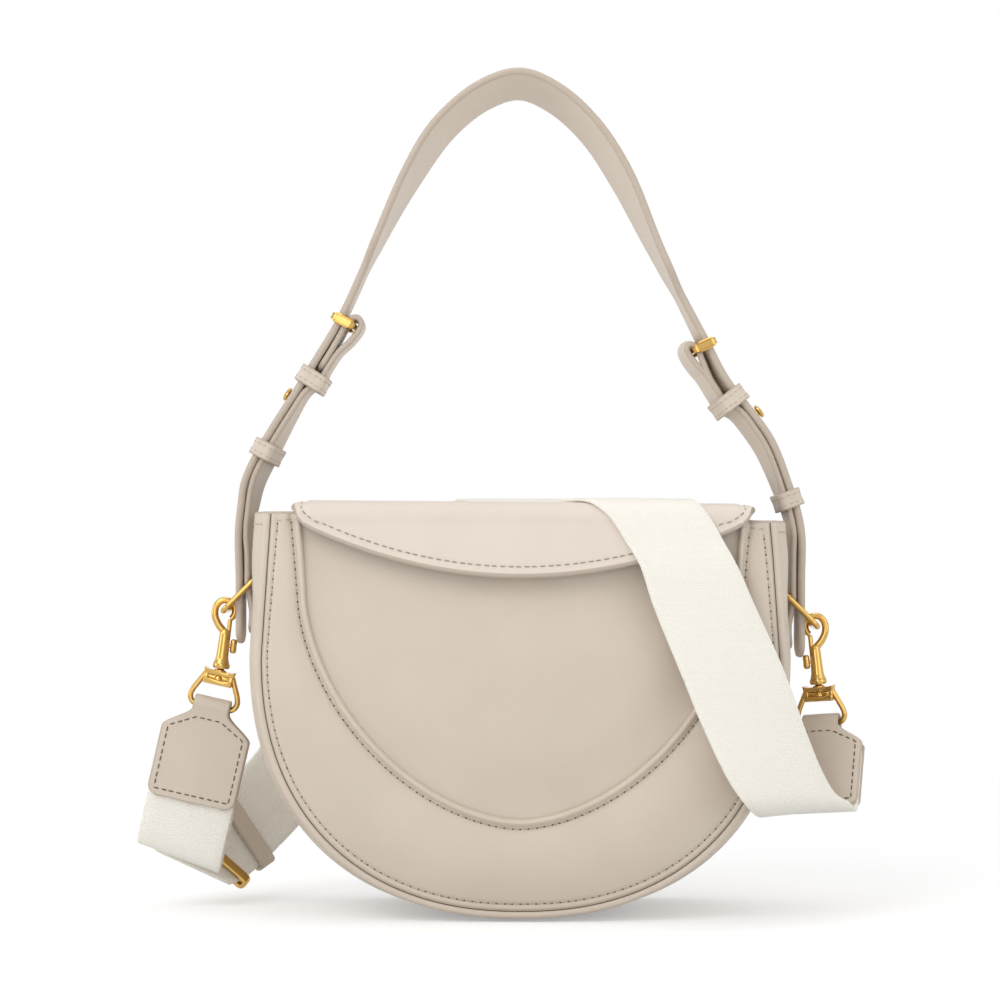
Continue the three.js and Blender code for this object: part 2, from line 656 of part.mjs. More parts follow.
function studSolid() {
  const seat = HANDLE_THICKNESS / 2 + GAP;
  const profile = [
    [0, 0], [STUD_RADIUS, 0], [STUD_RADIUS, 0.8], [STUD_RADIUS * 0.45, 1.4], [STUD_RADIUS * 0.45, 2.4],
    [STUD_RADIUS * 0.85, 3.4], [STUD_RADIUS * 0.85, 4.6], [STUD_RADIUS * 0.5, STUD_HEIGHT], [0, STUD_HEIGHT],
  ];
  const geometry = new THREE.LatheGeometry(profile.map(([r, h]) => new THREE.Vector2(r, h)), 12);
  return geometry.translate(0, seat, 0);
}

SIDES.forEach((side) => {
  place(`side_tab_upper_${side}`, makeUpperTab(side), 'leather');
  place(`side_tab_lower_${side}`, makeLowerTab(side), 'leather');
  place(`handle_tail_${side}`, makeTail(side), 'leather');
  const buckle = place(`buckle_${side}`, buckleSolid(), 'gold');
  const upperKeeper = place(`upper_keeper_${side}`, keeperSolid(THIRD_LAYER), 'leather');
  const lowerKeeper = place(`lower_keeper_${side}`, keeperSolid(SECOND_LAYER), 'leather');
  const stud = place(`stud_${side}`, studSolid(), 'gold');
  acrossHandle(buckle, side, 0);
  acrossHandle(upperKeeper, side, UPPER_KEEPER_DROP);
  acrossHandle(lowerKeeper, side, LOWER_KEEPER_DROP[side]);
  acrossHandle(stud, side, STUD_DROP[side]);
});

// Side ring: its own x lies along Y, its y runs from the inner bar to the outer bar
function makeRing(side) {
  const half = STRAP_WIDTH / 2 + RING_SIDE_PLAY;
  const hole = [-half, RING_WIRE / 2, half, RING_REACH - RING_WIRE / 2];
  const geometry = frameSolid(hole, Array(4).fill(RING_WIRE), RING_WIRE, 1.5);
  const mesh = place(`strap_ring_${side}`, geometry, 'gold');
  const slope = turn(RING_SLOPE);
  const down = vec(sign(side) * Math.sin(slope), 0, -Math.cos(slope));
  const across = vec(0, 1, 0);
  const basis = new THREE.Matrix4().makeBasis(across, down, across.clone().cross(down));
  const barX = halfWidthAbove(RING_BAR_Z[side]) + RING_WIRE / Math.SQRT2 + GAP;
  mesh.applyMatrix4(basis.setPosition(sign(side) * barX, 0, RING_BAR_Z[side]));
  return mesh.localToWorld(vec(0, RING_REACH, 0));
}

// Snap hook: origin at the ring's outer bar, the barrel hangs down -z, and inward is towards the bag

function makeHookBody(inward) {
  const centre = -HOOK_SEAT;
  const outer = HOOK_BORE + HOOK_WIRE;
  const loopShape = new THREE.Shape().absarc(0, centre, outer, 0, 2 * Math.PI);
  loopShape.holes.push(new THREE.Path().absarc(0, centre, HOOK_BORE, 0, 2 * Math.PI));
  const half = HOOK_THICKNESS / 2;
  const neckTop = centre - HOOK_BORE - GAP;
  const neckEnd = BARREL_TOP - 1;
  const neck = new THREE.BoxGeometry(outer, HOOK_THICKNESS, neckTop - neckEnd);
  neck.translate(inward * (HOOK_GATE_X - BOLT_BORE - GAP - outer / 2), 0, (neckTop + neckEnd) / 2);
  const gate = new THREE.BoxGeometry(outer, HOOK_THICKNESS * 2, HOOK_BORE + HOOK_WIRE);
  gate.translate(inward * (outer / 2 + HOOK_GATE_X - BOLT_BORE), 0, centre - 1 - (HOOK_BORE + HOOK_WIRE) / 2);
  const barrel = rod(BARREL_RADIUS, BARREL_END, BARREL_TOP, 16).translate(inward * BARREL_X, 0, 0);
  const bore = rod(BOLT_BORE, SPRING_END - GAP, 0, 12).translate(inward * HOOK_GATE_X, 0, 0);
  const socket = rod(POST_HOLE, BARREL_END - 1, BARREL_END + POST_HEIGHT + GAP, 12);
  socket.translate(inward * BARREL_X, 0, 0);
  const slotHeight = BOLT_TRAVEL + 2 * (KNOB_STEM + GAP);
  const slot = new THREE.BoxGeometry(BARREL_RADIUS * 2, 2 * (KNOB_STEM + GAP), slotHeight);
  slot.translate(inward * (HOOK_GATE_X + BARREL_RADIUS), 0, KNOB_Z - BOLT_TRAVEL / 2);
  const loop = toSolid(plate(loopShape, -half, half, 20)).add(toSolid(neck)).subtract(toSolid(gate));
  const cuts = toSolid(bore).add(toSolid(socket)).add(toSolid(slot));
  return toGeometry(loop.add(toSolid(barrel)).subtract(cuts));
}

function makeBolt(inward) {
  const pin = rod(BOLT_RADIUS, BOLT_END, BOLT_TOP, 12).translate(inward * HOOK_GATE_X, 0, 0);
  const stem = new THREE.CylinderGeometry(KNOB_STEM, KNOB_STEM, KNOB_REACH - HOOK_GATE_X, 10);
  stem.rotateZ(Math.PI / 2).translate((inward * (KNOB_REACH + HOOK_GATE_X)) / 2, 0, KNOB_Z);
  const head = new THREE.CylinderGeometry(KNOB_HEAD, KNOB_HEAD, 1.6, 12);
  head.rotateZ(Math.PI / 2).translate(inward * KNOB_REACH, 0, KNOB_Z);
  return toGeometry(toSolid(pin).add(toSolid(stem)).add(toSolid(head)));
}

function makeSpring(inward) {
  const radius = BOLT_RADIUS - SPRING_WIRE;
  const top = BOLT_END - SPRING_WIRE - GAP;
  const bottom = SPRING_END + SPRING_WIRE;
  const points = [];
  const perTurn = 8;
  for (let i = 0; i <= SPRING_TURNS * perTurn; i += 1) {
    const angle = (2 * Math.PI * i) / perTurn;
    const z = THREE.MathUtils.lerp(bottom, top, i / (SPRING_TURNS * perTurn));
    points.push(vec(inward * HOOK_GATE_X + radius * Math.cos(angle), radius * Math.sin(angle), z));
  }
  const section = new THREE.Shape().absarc(0, 0, SPRING_WIRE, 0, 2 * Math.PI);
  const extrudePath = new THREE.CatmullRomCurve3(points);
  return new THREE.ExtrudeGeometry(section, { steps: SPRING_TURNS * perTurn, extrudePath, curveSegments: 2 });
}

// Swivel eye: origin under the barrel, a trapezoid frame that ends in the bar that the chape folds round
const EYE_BAR_Z = EYE_SHOULDER - EYE_LENGTH + EYE_BAR / 2;

function makeEye() {
  const shape = new THREE.Shape();
  const low = EYE_SHOULDER - EYE_LENGTH;
  shape.moveTo(-EYE_TOP_WIDTH / 2, EYE_SHOULDER);
  shape.lineTo(-EYE_BAR_WIDTH / 2, low + EYE_BAR / 2);
  shape.lineTo(-EYE_BAR_WIDTH / 2, low);
  shape.lineTo(EYE_BAR_WIDTH / 2, low);
  shape.lineTo(EYE_BAR_WIDTH / 2, low + EYE_BAR / 2);
  shape.lineTo(EYE_TOP_WIDTH / 2, EYE_SHOULDER);
  const hole = new THREE.Path();
  hole.moveTo(EYE_LIMB - EYE_TOP_WIDTH / 2, EYE_SHOULDER - EYE_BAR);
  hole.lineTo(EYE_TOP_WIDTH / 2 - EYE_LIMB, EYE_SHOULDER - EYE_BAR);
  hole.lineTo(EYE_BAR_WIDTH / 2 - EYE_LIMB, low + EYE_BAR);
  hole.lineTo(EYE_LIMB - EYE_BAR_WIDTH / 2, low + EYE_BAR);
  shape.holes.push(hole);
  const frame = toSolid(plate(shape, -EYE_THICKNESS / 2, EYE_THICKNESS / 2));
  const collar = toSolid(rod(BARREL_RADIUS, EYE_SHOULDER - 0.5, -1, 16));
  return toGeometry(frame.add(collar).add(toSolid(rod(POST_RADIUS, -1.5, POST_HEIGHT, 10))));
}

// Chape: two plies folded round the eye bar, with the webbing between them; origin at the bar
function makeChape() {
  const ply = WEBBING_THICKNESS / 2 + GAP;
  const outer = ply + CHAPE_PLY;
  const fold = CHAPE_BORE + CHAPE_PLY;
  const side = new THREE.Shape();
  side.moveTo(ply, -CHAPE_DROP - 1);
  side.lineTo(outer, -CHAPE_DROP - 1);
  side.lineTo(outer, -CHAPE_SHOULDER_DROP);
  side.lineTo(fold, -CHAPE_BORE);
  side.absarc(0, 0, fold, 0, Math.PI, false);
  side.lineTo(-fold, -CHAPE_BORE);
  side.lineTo(-outer, -CHAPE_SHOULDER_DROP);
  side.lineTo(-outer, -CHAPE_DROP - 1);
  side.lineTo(-ply, -CHAPE_DROP - 1);
  side.lineTo(-ply, -CHAPE_SHOULDER_DROP + 2);
  side.lineTo(-CHAPE_BORE, -CHAPE_BORE);
  side.absarc(0, 0, CHAPE_BORE, Math.PI, 0, true);
  side.lineTo(CHAPE_BORE, -CHAPE_BORE);
  side.lineTo(ply, -CHAPE_SHOULDER_DROP + 2);
  const neck = CHAPE_NECK / 2;
  const half = CHAPE_WIDTH / 2;
  const front = new THREE.Shape();
  front.moveTo(-neck, fold + 1);
  front.lineTo(-neck, -CHAPE_NECK_DROP);
  front.lineTo(-half, -CHAPE_SHOULDER_DROP);
  front.lineTo(-half, CHAPE_CORNER - CHAPE_DROP);
  front.quadraticCurveTo(-half, -CHAPE_DROP, CHAPE_CORNER - half, -CHAPE_DROP);
  front.lineTo(half - CHAPE_CORNER, -CHAPE_DROP);
  front.quadraticCurveTo(half, -CHAPE_DROP, half, CHAPE_CORNER - CHAPE_DROP);
  front.lineTo(half, -CHAPE_SHOULDER_DROP);
  front.lineTo(neck, -CHAPE_NECK_DROP);
  front.lineTo(neck, fold + 1);
  const folded = toSolid(slab(side, CHAPE_WIDTH + 2, 6));
  return toGeometry(folded.intersect(toSolid(plate(front, -2 * fold, 2 * fold, 3))));
}

const chapes = {};
SIDES.forEach((side) => {
  const inward = -sign(side);
  const hook = new THREE.Group();
  hook.position.copy(makeRing(side));
  hook.rotation.y = turn(HOOK_TILT[side]);
  bag.add(hook);
  place(`hook_body_${side}`, makeHookBody(inward), 'gold', hook);
  place(`hook_bolt_${side}`, makeBolt(inward), 'gold', hook);
  place(`bolt_spring_${side}`, makeSpring(inward), 'steel', hook);
  const eye = new THREE.Group();
  eye.position.set(inward * BARREL_X, 0, BARREL_END);
  eye.rotation.set(0, turn(EYE_TILT[side]), turn(EYE_TURN[side]), 'YZX');
  hook.add(eye);
  place(`swivel_eye_${side}`, makeEye(), 'gold', eye);
  const chape = new THREE.Group();
  chape.position.set(0, 0, EYE_BAR_Z);
  chape.rotation.x = turn(-CHAPE_PITCH[side]);
  eye.add(chape);
  place(`chape_${side}`, makeChape(), 'leather', chape);
  chapes[side] = chape;
});
bag.updateMatrixWorld(true);

// Webbing: left and right edge points along each stretch, seen from the front of the bag

function webbing(name, edges, steps, parent = bag) {
  const left = smooth(edges.map(([p]) => p), steps);
  const right = smooth(edges.map((pair) => pair[1]), steps);
  place(name, band(left, right, WEBBING_THICKNESS), 'webbing', parent);
  return { left, right };
}

// Short left stretch: down from the chape, round a loose loop and up behind itself
const loopFront = [
  [WEBBING_IN_CHAPE - CHAPE_DROP, 0, 0], [-CHAPE_DROP - 4, 0, 0], [6 - LOOP_DROP, 0.5, 1],
];
const loopBack = [[6 - LOOP_DROP, LOOP_DEPTH - 0.5, 1], [LOOP_RISE - LOOP_DROP, LOOP_DEPTH, 1]];
const loopRows = [...loopFront, [-LOOP_DROP, LOOP_DEPTH / 2, 1], ...loopBack];
const webbingHalf = WEBBING_WIDTH / 2;
const loopEdges = loopRows.map(([z, y, skew]) => [
  vec(-webbingHalf, y, z + skew * LOOP_SKEW), vec(webbingHalf, y, z - skew * LOOP_SKEW),
]);
webbing('webbing_short_left', loopEdges, 26, chapes.left);

// Left and right edge points on a round part of the flap's side view
const overRadius = FLAP_THICKNESS / 2 + GAP + WEBBING_THICKNESS / 2;

function overBend(y, z, radius, degrees, left, right) {
  const angle = turn(degrees);
  const depth = y + radius * Math.cos(angle);
  const level = z + radius * Math.sin(angle);
  return [vec(left, depth, level), vec(right, depth, level)];
}

function overHinge(degrees, left, right) {
  return overBend(FLAP_HINGE_Y, FLAP_LEVEL, overRadius, degrees, left, right);
}

// Back stretch: from the flap's bending line down behind the bag and round to the left loop
const backEdges = [
  overHinge(84, -30, 20), overHinge(30, -32, 19), overHinge(-20, -34, 18),
  [vec(-70, 46, 128), vec(-31, 46.5, 115)],
  [vec(-103, 46, 85), vec(-68, 46.5, 66)],
  [vec(-121, 44, 61), vec(-100, 43, 30)],
  [vec(-134, 33, 46), vec(-114, 33, 16)],
  [vec(-147, 20, 33), vec(-122, 22, 10)],
  [vec(-159, 14, 24), vec(-126, 14, 9)],
];
const BACK_STEPS = 6;
const KEEPER_ROW = BACK_STEPS * 6;
const SLIDER_ROW = BACK_STEPS * 7;
const back = webbing('webbing_back', backEdges, BACK_STEPS * (backEdges.length - 1));

// Stretch over the flap: round the bending line, across the top and down to the flap's front edge
const overFront = FLAP_FRONT_Y - overRadius;
const cornerY = FLAP_FRONT_Y + FLAP_CORNER;
const cornerZ = FLAP_LEVEL - FLAP_CORNER;
const cornerRadius = FLAP_CORNER + overRadius;
const overCorner = (degrees, left, right) => overBend(cornerY, cornerZ, cornerRadius, degrees, left, right);
const overEdges = [
  overHinge(96, -29.5, 20.5),
  overBend(0, FLAP_LEVEL, overRadius, 90, -4, 44),
  overCorner(90, 24, 69), overCorner(120, 28, 72.5), overCorner(150, 32, 76), overCorner(180, 36, 80),
  [vec(48, overFront, 147.5), vec(90, overFront, 147.5)],
];
webbing('webbing_over_flap', overEdges, 40);

// Front stretch: down across the crescent, round the fold under the right chape and up between its plies
const inChape = (x, y, z) => chapes.right.localToWorld(vec(x, y, z));
const foldRows = [
  [-CHAPE_DROP - 3, -FOLD_DEPTH], [-CHAPE_DROP - 5, -FOLD_DEPTH / 2], [-CHAPE_DROP - 3, 0],
  [-CHAPE_DROP, 0], [4 - CHAPE_DROP, 0], [WEBBING_IN_CHAPE - CHAPE_DROP, 0],
];
const frontEdges = [
  [vec(48.2, overFront, 147), vec(90.2, overFront, 147)],
  [vec(53, -51.5, 134), vec(96, -50.5, 134)],
  [vec(65.5, -50.5, 105), vec(108.3, -47.5, 105)],
  [vec(76.5, -49, 80), vec(119.5, -42.5, 80)],
  [vec(87, -47.6, 60), vec(128.7, -40.5, 62)],
  [vec(95.5, -43.6, 50), vec(134, -39.5, 53)],
  ...foldRows.map(([z, y]) => [inChape(-webbingHalf, y, z), inChape(webbingHalf, y, z)]),
];
webbing('webbing_front', frontEdges, 66);

// A loop that goes round the back stretch at one of its rows
function loopRoundWebbing(row, wall, length) {
  const { left, right } = back;
  const across = right[row].clone().sub(left[row]);
  const half = across.length() / 2 + WEBBING_PLAY;
  const middle = left[row].clone().lerp(right[row], 0.5);
  const ahead = left[row + 1].clone().lerp(right[row + 1], 0.5);
  across.normalize();
  const out = ahead.sub(middle).cross(across).normalize();
  const along = across.clone().cross(out);
  const play = WEBBING_THICKNESS / 2 + WEBBING_PLAY;
  const geometry = frameSolid([-half, -play, half, play], Array(4).fill(wall), length, wall / 2);
  return geometry.applyMatrix4(new THREE.Matrix4().makeBasis(across, out, along).setPosition(middle));
}

const keeperLoop = loopRoundWebbing(KEEPER_ROW, WEBBING_KEEPER_WALL, WEBBING_KEEPER_LENGTH);
place('webbing_keeper', keeperLoop, 'leather');
place('strap_slider', loopRoundWebbing(SLIDER_ROW, SLIDER_WALL, SLIDER_LENGTH), 'gold');

export default bag;
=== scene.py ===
"""Dresses the crescent shoulder bag: leather, stitching, webbing and gold hardware, in the CAD frame.

Lengths are in mm until piece() turns them into metres. +Z is up and the front faces -Y.
"""

import json
import math

import bpy
import bmesh
import numpy as np
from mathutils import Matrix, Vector


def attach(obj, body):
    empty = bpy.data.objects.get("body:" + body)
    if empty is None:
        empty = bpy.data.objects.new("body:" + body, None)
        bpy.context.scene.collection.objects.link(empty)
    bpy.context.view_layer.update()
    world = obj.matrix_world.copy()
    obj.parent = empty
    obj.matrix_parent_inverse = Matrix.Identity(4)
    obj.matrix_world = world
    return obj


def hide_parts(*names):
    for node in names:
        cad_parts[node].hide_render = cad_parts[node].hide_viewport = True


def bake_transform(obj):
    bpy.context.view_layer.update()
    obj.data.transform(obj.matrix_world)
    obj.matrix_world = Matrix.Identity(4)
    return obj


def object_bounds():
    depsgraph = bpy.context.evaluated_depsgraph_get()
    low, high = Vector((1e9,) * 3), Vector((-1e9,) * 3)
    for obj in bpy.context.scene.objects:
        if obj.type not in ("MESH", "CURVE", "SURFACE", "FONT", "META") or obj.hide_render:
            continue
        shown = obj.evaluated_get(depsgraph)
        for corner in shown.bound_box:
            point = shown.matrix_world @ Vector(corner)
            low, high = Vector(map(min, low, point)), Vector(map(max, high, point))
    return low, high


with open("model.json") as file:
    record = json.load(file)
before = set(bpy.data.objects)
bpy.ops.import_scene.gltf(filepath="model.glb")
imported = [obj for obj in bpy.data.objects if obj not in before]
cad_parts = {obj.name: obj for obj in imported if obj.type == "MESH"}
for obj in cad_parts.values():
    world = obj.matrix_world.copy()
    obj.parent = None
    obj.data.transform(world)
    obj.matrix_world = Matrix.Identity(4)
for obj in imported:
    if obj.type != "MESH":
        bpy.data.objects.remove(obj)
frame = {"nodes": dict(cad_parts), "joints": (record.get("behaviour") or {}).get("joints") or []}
CAD_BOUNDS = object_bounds()
JOINTS = {joint["name"]: joint for joint in frame["joints"]}

MM = 0.001
SIDES = {"left": -1, "right": 1}
BACKWARD = np.array([0.0, 1.0, 0.0])
QUARTER = math.pi / 2

# Body sizes, as in the part's source
HALF_WIDTH = 113
TOP_HALF_WIDTH = 109
BODY_TOP = 170.6
WIDEST = 110
POWER = 2.25
FOOT_REACH = 111
GUSSET_EDGE = 36
GUSSET_FLAT = 15
GUSSET_WALL = 2.2
GUSSET_ROLL = 4.5
GUSSET_ROLL_POWER = 2.6
SEAM_INSET = 5.0
PANEL_OUT = 39.3
PANEL_WALL = 2.0
PANEL_DOME = 5.0
TOP_FLATTENING = 0.7
PIPING_INSET = 3.9
PIPING_Y = 38.1
PIPING_RADIUS = 1.8
SEAM_SHADE_RADIUS = 0.28
RIM_STEP = 2.2

# How the leather of the body has settled
SIDE_SWELL = 1.8
SIDE_SWELL_Y = -16
SIDE_SWELL_REACH = 12
SIDE_SWELL_GROWS = (128, 155)
TOP_DROP = 1.0
RIGHT_DROP = 3.8
RIGHT_DROP_X = (66, 100)
DROP_FROM_Z = 148
FRONT_SWELL = 2.2
FRONT_SWELL_RIM = (1.5, 26)
FRONT_SWELL_FADES = (112, 142)
BACK_WAVE = 0.5
BACK_WAVE_TURN = 0.05
BACK_WAVE_RIM = 30

# Lining
LINING_WALL = 0.8
LINING_DROP = 1.8
LINING_DROP_FROM = 140
LINING_INSET = 1.6
LINING_MARGIN = 3

# Crescent
INNER_HALF = 89
INNER_LEVEL = 138
INNER_DEPTH = 95
INNER_SPREAD = 2
INNER_POWER = 1.75
INNER_REACH = 90
OUTER_INSET = 0.9
CRESCENT_STATIONS = 300
CRESCENT_WALL = 0.9
CRESCENT_GAP = 0.15
PAD_RISE = 3.0
PAD_POWER = 0.8
PAD_OUTER_MARGIN = 2.1
PAD_MARGINS = 6.3
PAD_FROM_WIDTH = 6
PAD_GROWS_OVER = 26
BEAD_RISE = 2.1
BEAD_RADIUS = 1.5
OUTER_SEAM = 2.6
OUTER_GROOVE = 0.5
INNER_SEAM = 4.3
INNER_GROOVE = 0.45
GROOVE_REACH = 0.7

# Flap sizes
FLAP_HALF = 95
FLAP_REAR_HALF = 88
FLAP_LEVEL = 174
FLAP_SAG = 1.8
FLAP_SAG_FROM = 34
FLAP_HINGE_Y = 39
FLAP_HINGE_RADIUS = 4.1
FLAP_THICKNESS = 3.3
FLAP_BAND_THICKNESS = 1.6
FLAP_CORNER_Y = -39
FLAP_CORNER_Z = 167
FLAP_CORNER = 7
FLAP_SLOPE = math.radians(10.7)
FLAP_SHOULDER = 86
FLAP_SHOULDER_Z = 161.5
FLAP_CURVE = 75.2
FLAP_CORNER_PULL = 165.25
FLAP_END_Z = 172
FLAP_END_DROP = 2.6
FLAP_END_REACH = 9.5
FLAP_SETTLE = 1.2
FLAP_TILT = 0.8
FLAP_LOWEST = 141
FLAP_BAND = (150, 168)
FLAP_TAPER = 24
FLAP_NARROWS = (-16, 8)
FLAP_RIGHT_STRETCH = 0.024
FLAP_SEAM = 4.6
FLAP_SEAM_HALF = 90.5
FLAP_SIDE_SEAM = 4.4
FLAP_GROOVE = 0.45
FLAP_GROOVE_AT = (4.2, 0.9)
FLAP_LINING_MARGIN = 4
FLAP_LINING_RISE = 3.2
FLAP_LINING_FROM = 30.0
FLAP_LINING_DEPTH = 2.3

# Handle sizes
STRAP_WIDTH = 16
HANDLE_WIDTH = 28
HANDLE_THICKNESS = 3.2
HANDLE_WIDENS = (22, 38)
HANDLE_SEAM = 2.6
HANDLE_ROLL = math.radians(13)
HANDLE_ROLLS = (24, 90)
LOW_ROLL = {"left": (190, 24), "right": (212, 36)}
STRAP_CLEARANCE = 0.3
TAB_THICKNESS = 2.6
TAB_SEAT_DROPS = (22.5, 14.5)
TAB_SEAT_LIFT = 1.6
TAB_BEND = (152, 163)
SECOND_LAYER = 3.2
THIRD_LAYER = 6.1
BUCKLE_BAR = 6.6
BUCKLE_WALL = 2.4
BUCKLE_HEIGHT = 4.6
BUCKLE_RANGE = (1.2 - BUCKLE_BAR, 1.9)
BUCKLE_CORNER = 1.6
RING_BAR_Z = {"left": 142.6, "right": 135.8}
TAIL_X = {"left": 120.1, "right": 120.55}
TAIL_END = {"left": 116, "right": 110}
BUCKLE_Z = {"left": 253.4, "right": 242.5}
UPPER_KEEPER_DROP = {"left": 28, "right": 25.7}
LOWER_KEEPER_DROP = {"left": 64.8, "right": 76}
STUD_DROP = {"left": 39, "right": 37}
STUD_NECK = {"left": 0, "right": 1.6}
KEEPER_LENGTH = 7
KEEPER_WALL = 1.5
KEEPER_CLEARANCE = 0.6
KEEPER_CORNER = 2.2
KEEPER_FLARE = 0.25
KEEPER_SEAM = 1.3
KEEPER_PITCH = 2.6
# Share of the tail's x, and height, from the bag up to the handle's top
HANDLE_HALVES = {
    "left": [(1, 162), (0.984, 175), (0.9686, 183.8), (0.867, 208), (0.734, 234.6), (0.641, 253.4),
             (0.521, 284.5), (0.3905, 315.5), (0.2756, 336.2), (0.133, 350.5)],
    "right": [(1, 160), (0.985, 170), (0.949, 182.3), (0.881, 201.3), (0.724, 227), (0.647, 246),
              (0.4853, 284.5), (0.3625, 315.5), (0.253, 335.5), (0.1244, 349.5)],
}
HANDLE_TOP = (0, 355.5)
HANDLE_BLEND = ("bag", "handle", (0, 0, 152), (0, 0, 171))

# Shoulder strap sizes
WEB_WIDTH = 40
WEB_THICKNESS = 1.6
WEB_OVER_FLAP = 2.75
WEB_STEP = 2.5
WEB_HALF_IN_CHAPE = 19.0
RISE_CUTS = (53.5, 67, 81, 101)
BACK_SPANS = (12, 28, 30, 36)
KEEPER_LEAD = 12
SHORT_HALF = 18.8
SHORT_STEP = 1.5
SHORT_SKEW = 2.5
LOOP_SIDE = 1.0
LOOP_DEPTH = 1.7
LOOP_CORNER = 1.6
WEB_KEEPER_WALL = 1.6
WEB_KEEPER_REACH = 3.6
SLIDER_WALL = 2.2
SLIDER_REACH = 2.3
WEAVE_PITCH = {"X": 1.15, "Y": 1.1}
RING_HALF = 10.45
RING_LENGTH = 19.8
RING_CORNER = 3.2
RING_WIRE = 1.25
HOOK_WIRE = 1.65
HOOK_TAPER = 0.4
BARREL_IN = 1.2
BARREL_BORE = 1.35
BARREL_SLOT = math.asin(1.0 / 2.2)
EYE_WIRE = 1.2
PIN_IN = 2.6
KNOB_IN = 5.4
KNOB_Z = -14.9
CHAPE_FOOT = -42
CHAPE_NECK = 7.7
CHAPE_SHOULDER = 11.3
CHAPE_CORNER = 4
CHAPE_SEAM = 2.6
CHAPE_SEAM_RANGE = (-39.4, -11.8)
CHAPE_SEAM_TOP = (5.4, -5.8)
CHAPE_FACE = 2.8
CHAPE_WALL = 1.6
CHAPE_SIDE = 2.0
CHAPE_WRAP = 3.1
CHAPE_UP = {"left": (0.224951, 0, 0.97437), "right": (0.14884, 0.544985, 0.825129)}

# Sewing; a stitch is rings of (place along, lift, size)
STITCH_PITCH = 3.3
STITCH_RADIUS = 0.3
FINE_STITCH = 0.22
STITCH_STEP = 0.5
THREAD_SLOT = 2
# Slot of the dark thread, which is painted shade
PAINTED_SHADE_SLOT = 3
STITCH_RINGS = [(-1, -0.4, 0.5), (-0.8, 0.1, 0.9), (0, 0.45, 1), (0.8, 0.1, 0.9), (1, -0.4, 0.5)]


def unit(v):
    v = np.asarray(v, float)
    return v / np.maximum(np.linalg.norm(v, axis=-1, keepdims=True), 1e-9)


def smoothstep(x, start, end):
    t = np.clip((np.asarray(x, float) - start) / (end - start), 0, 1)
    return t * t * (3 - 2 * t)


def bump(x, centre, reach):
    """A smooth hill of height 1."""
    return np.exp(-((np.asarray(x, float) - centre) / reach) ** 2)


def arc_length(points):
    """Running length along a polyline."""
    return np.r_[0, np.cumsum(np.linalg.norm(np.diff(points, axis=0), axis=1))]


def sample(at, s, table):
    """All columns of a table, read at given lengths."""
    return np.stack([np.interp(at, s, column) for column in np.asarray(table).T], axis=-1)


def spread(points, step, closed=False):
    """Evenly spaced points along a polyline."""
    p = np.asarray(points, float)
    if closed:
        p = np.vstack([p, p[:1]])
    s = arc_length(p)
    at = np.linspace(0, s[-1], max(3, int(round(s[-1] / step))) + 1)
    return sample(at[:-1] if closed else at, s, p)


def between(u, low, high, first, second):
    return ((high - u) * first + (u - low) * second) / (high - low)


def spline(points, step):
    """Centripetal curve through the points, evenly spaced; a row may hold more than three numbers."""
    p = np.asarray(points, float)
    p = np.vstack([2 * p[0] - p[1], p, 2 * p[-1] - p[-2]])
    dense = []
    for a, b, c, d in zip(p, p[1:], p[2:], p[3:]):
        t1 = np.linalg.norm(b - a) ** 0.5
        t2 = t1 + np.linalg.norm(c - b) ** 0.5
        t3 = t2 + np.linalg.norm(d - c) ** 0.5
        u = np.linspace(t1, t2, 24, endpoint=False)[:, None]
        near, mid, far = between(u, 0, t1, a, b), between(u, t1, t2, b, c), between(u, t2, t3, c, d)
        dense.append(between(u, t1, t2, between(u, 0, t2, near, mid), between(u, t1, t3, mid, far)))
    return spread(np.vstack(dense + [p[-2:-1]]), step)


def tangents(points, closed=False):
    p = np.asarray(points, float)
    if closed:
        return unit(np.roll(p, -1, 0) - np.roll(p, 1, 0))
    return unit(np.gradient(p, axis=0))


def grid_normals(grid):
    """Normals of a grid of points: along the rows crossed with across them."""
    return unit(np.cross(np.gradient(grid, axis=0), np.gradient(grid, axis=1)))


def border(n, m, closed):
    """Rows and columns of a grid's border: one loop, or two where the rows close."""
    if closed:
        return [(np.arange(n), np.full(n, column)) for column in (0, m - 1)]
    i = np.r_[np.zeros(m - 1, int), np.arange(n - 1), np.full(m - 1, n - 1), np.arange(n - 1, 0, -1)]
    j = np.r_[np.arange(m - 1), np.full(n - 1, m - 1), np.arange(m - 1, 0, -1), np.zeros(n - 1, int)]
    return [(i, j)]


def disc(radius, segments=14):
    angle = np.linspace(0, 2 * math.pi, segments, endpoint=False)
    return radius * np.stack([np.cos(angle), np.sin(angle)], axis=1)


def rounded_corners(x0, y0, x1, y1, radius, steps):
    """Rounded rectangle, counterclockwise."""
    corners = [(x1 - radius, y1 - radius), (x0 + radius, y1 - radius), (x0 + radius, y0 + radius),
               (x1 - radius, y0 + radius)]
    quarter = np.linspace(0, QUARTER, steps)
    turns = [(x, y, turn + k * QUARTER) for k, (x, y) in enumerate(corners) for turn in quarter]
    return np.array([(x + radius * math.cos(a), y + radius * math.sin(a)) for x, y, a in turns])


def rounded_loop(x0, y0, x1, y1, radius, step=0.6):
    """Rounded rectangle with evenly spaced points."""
    return spread(rounded_corners(x0, y0, x1, y1, radius, 8), step, True)


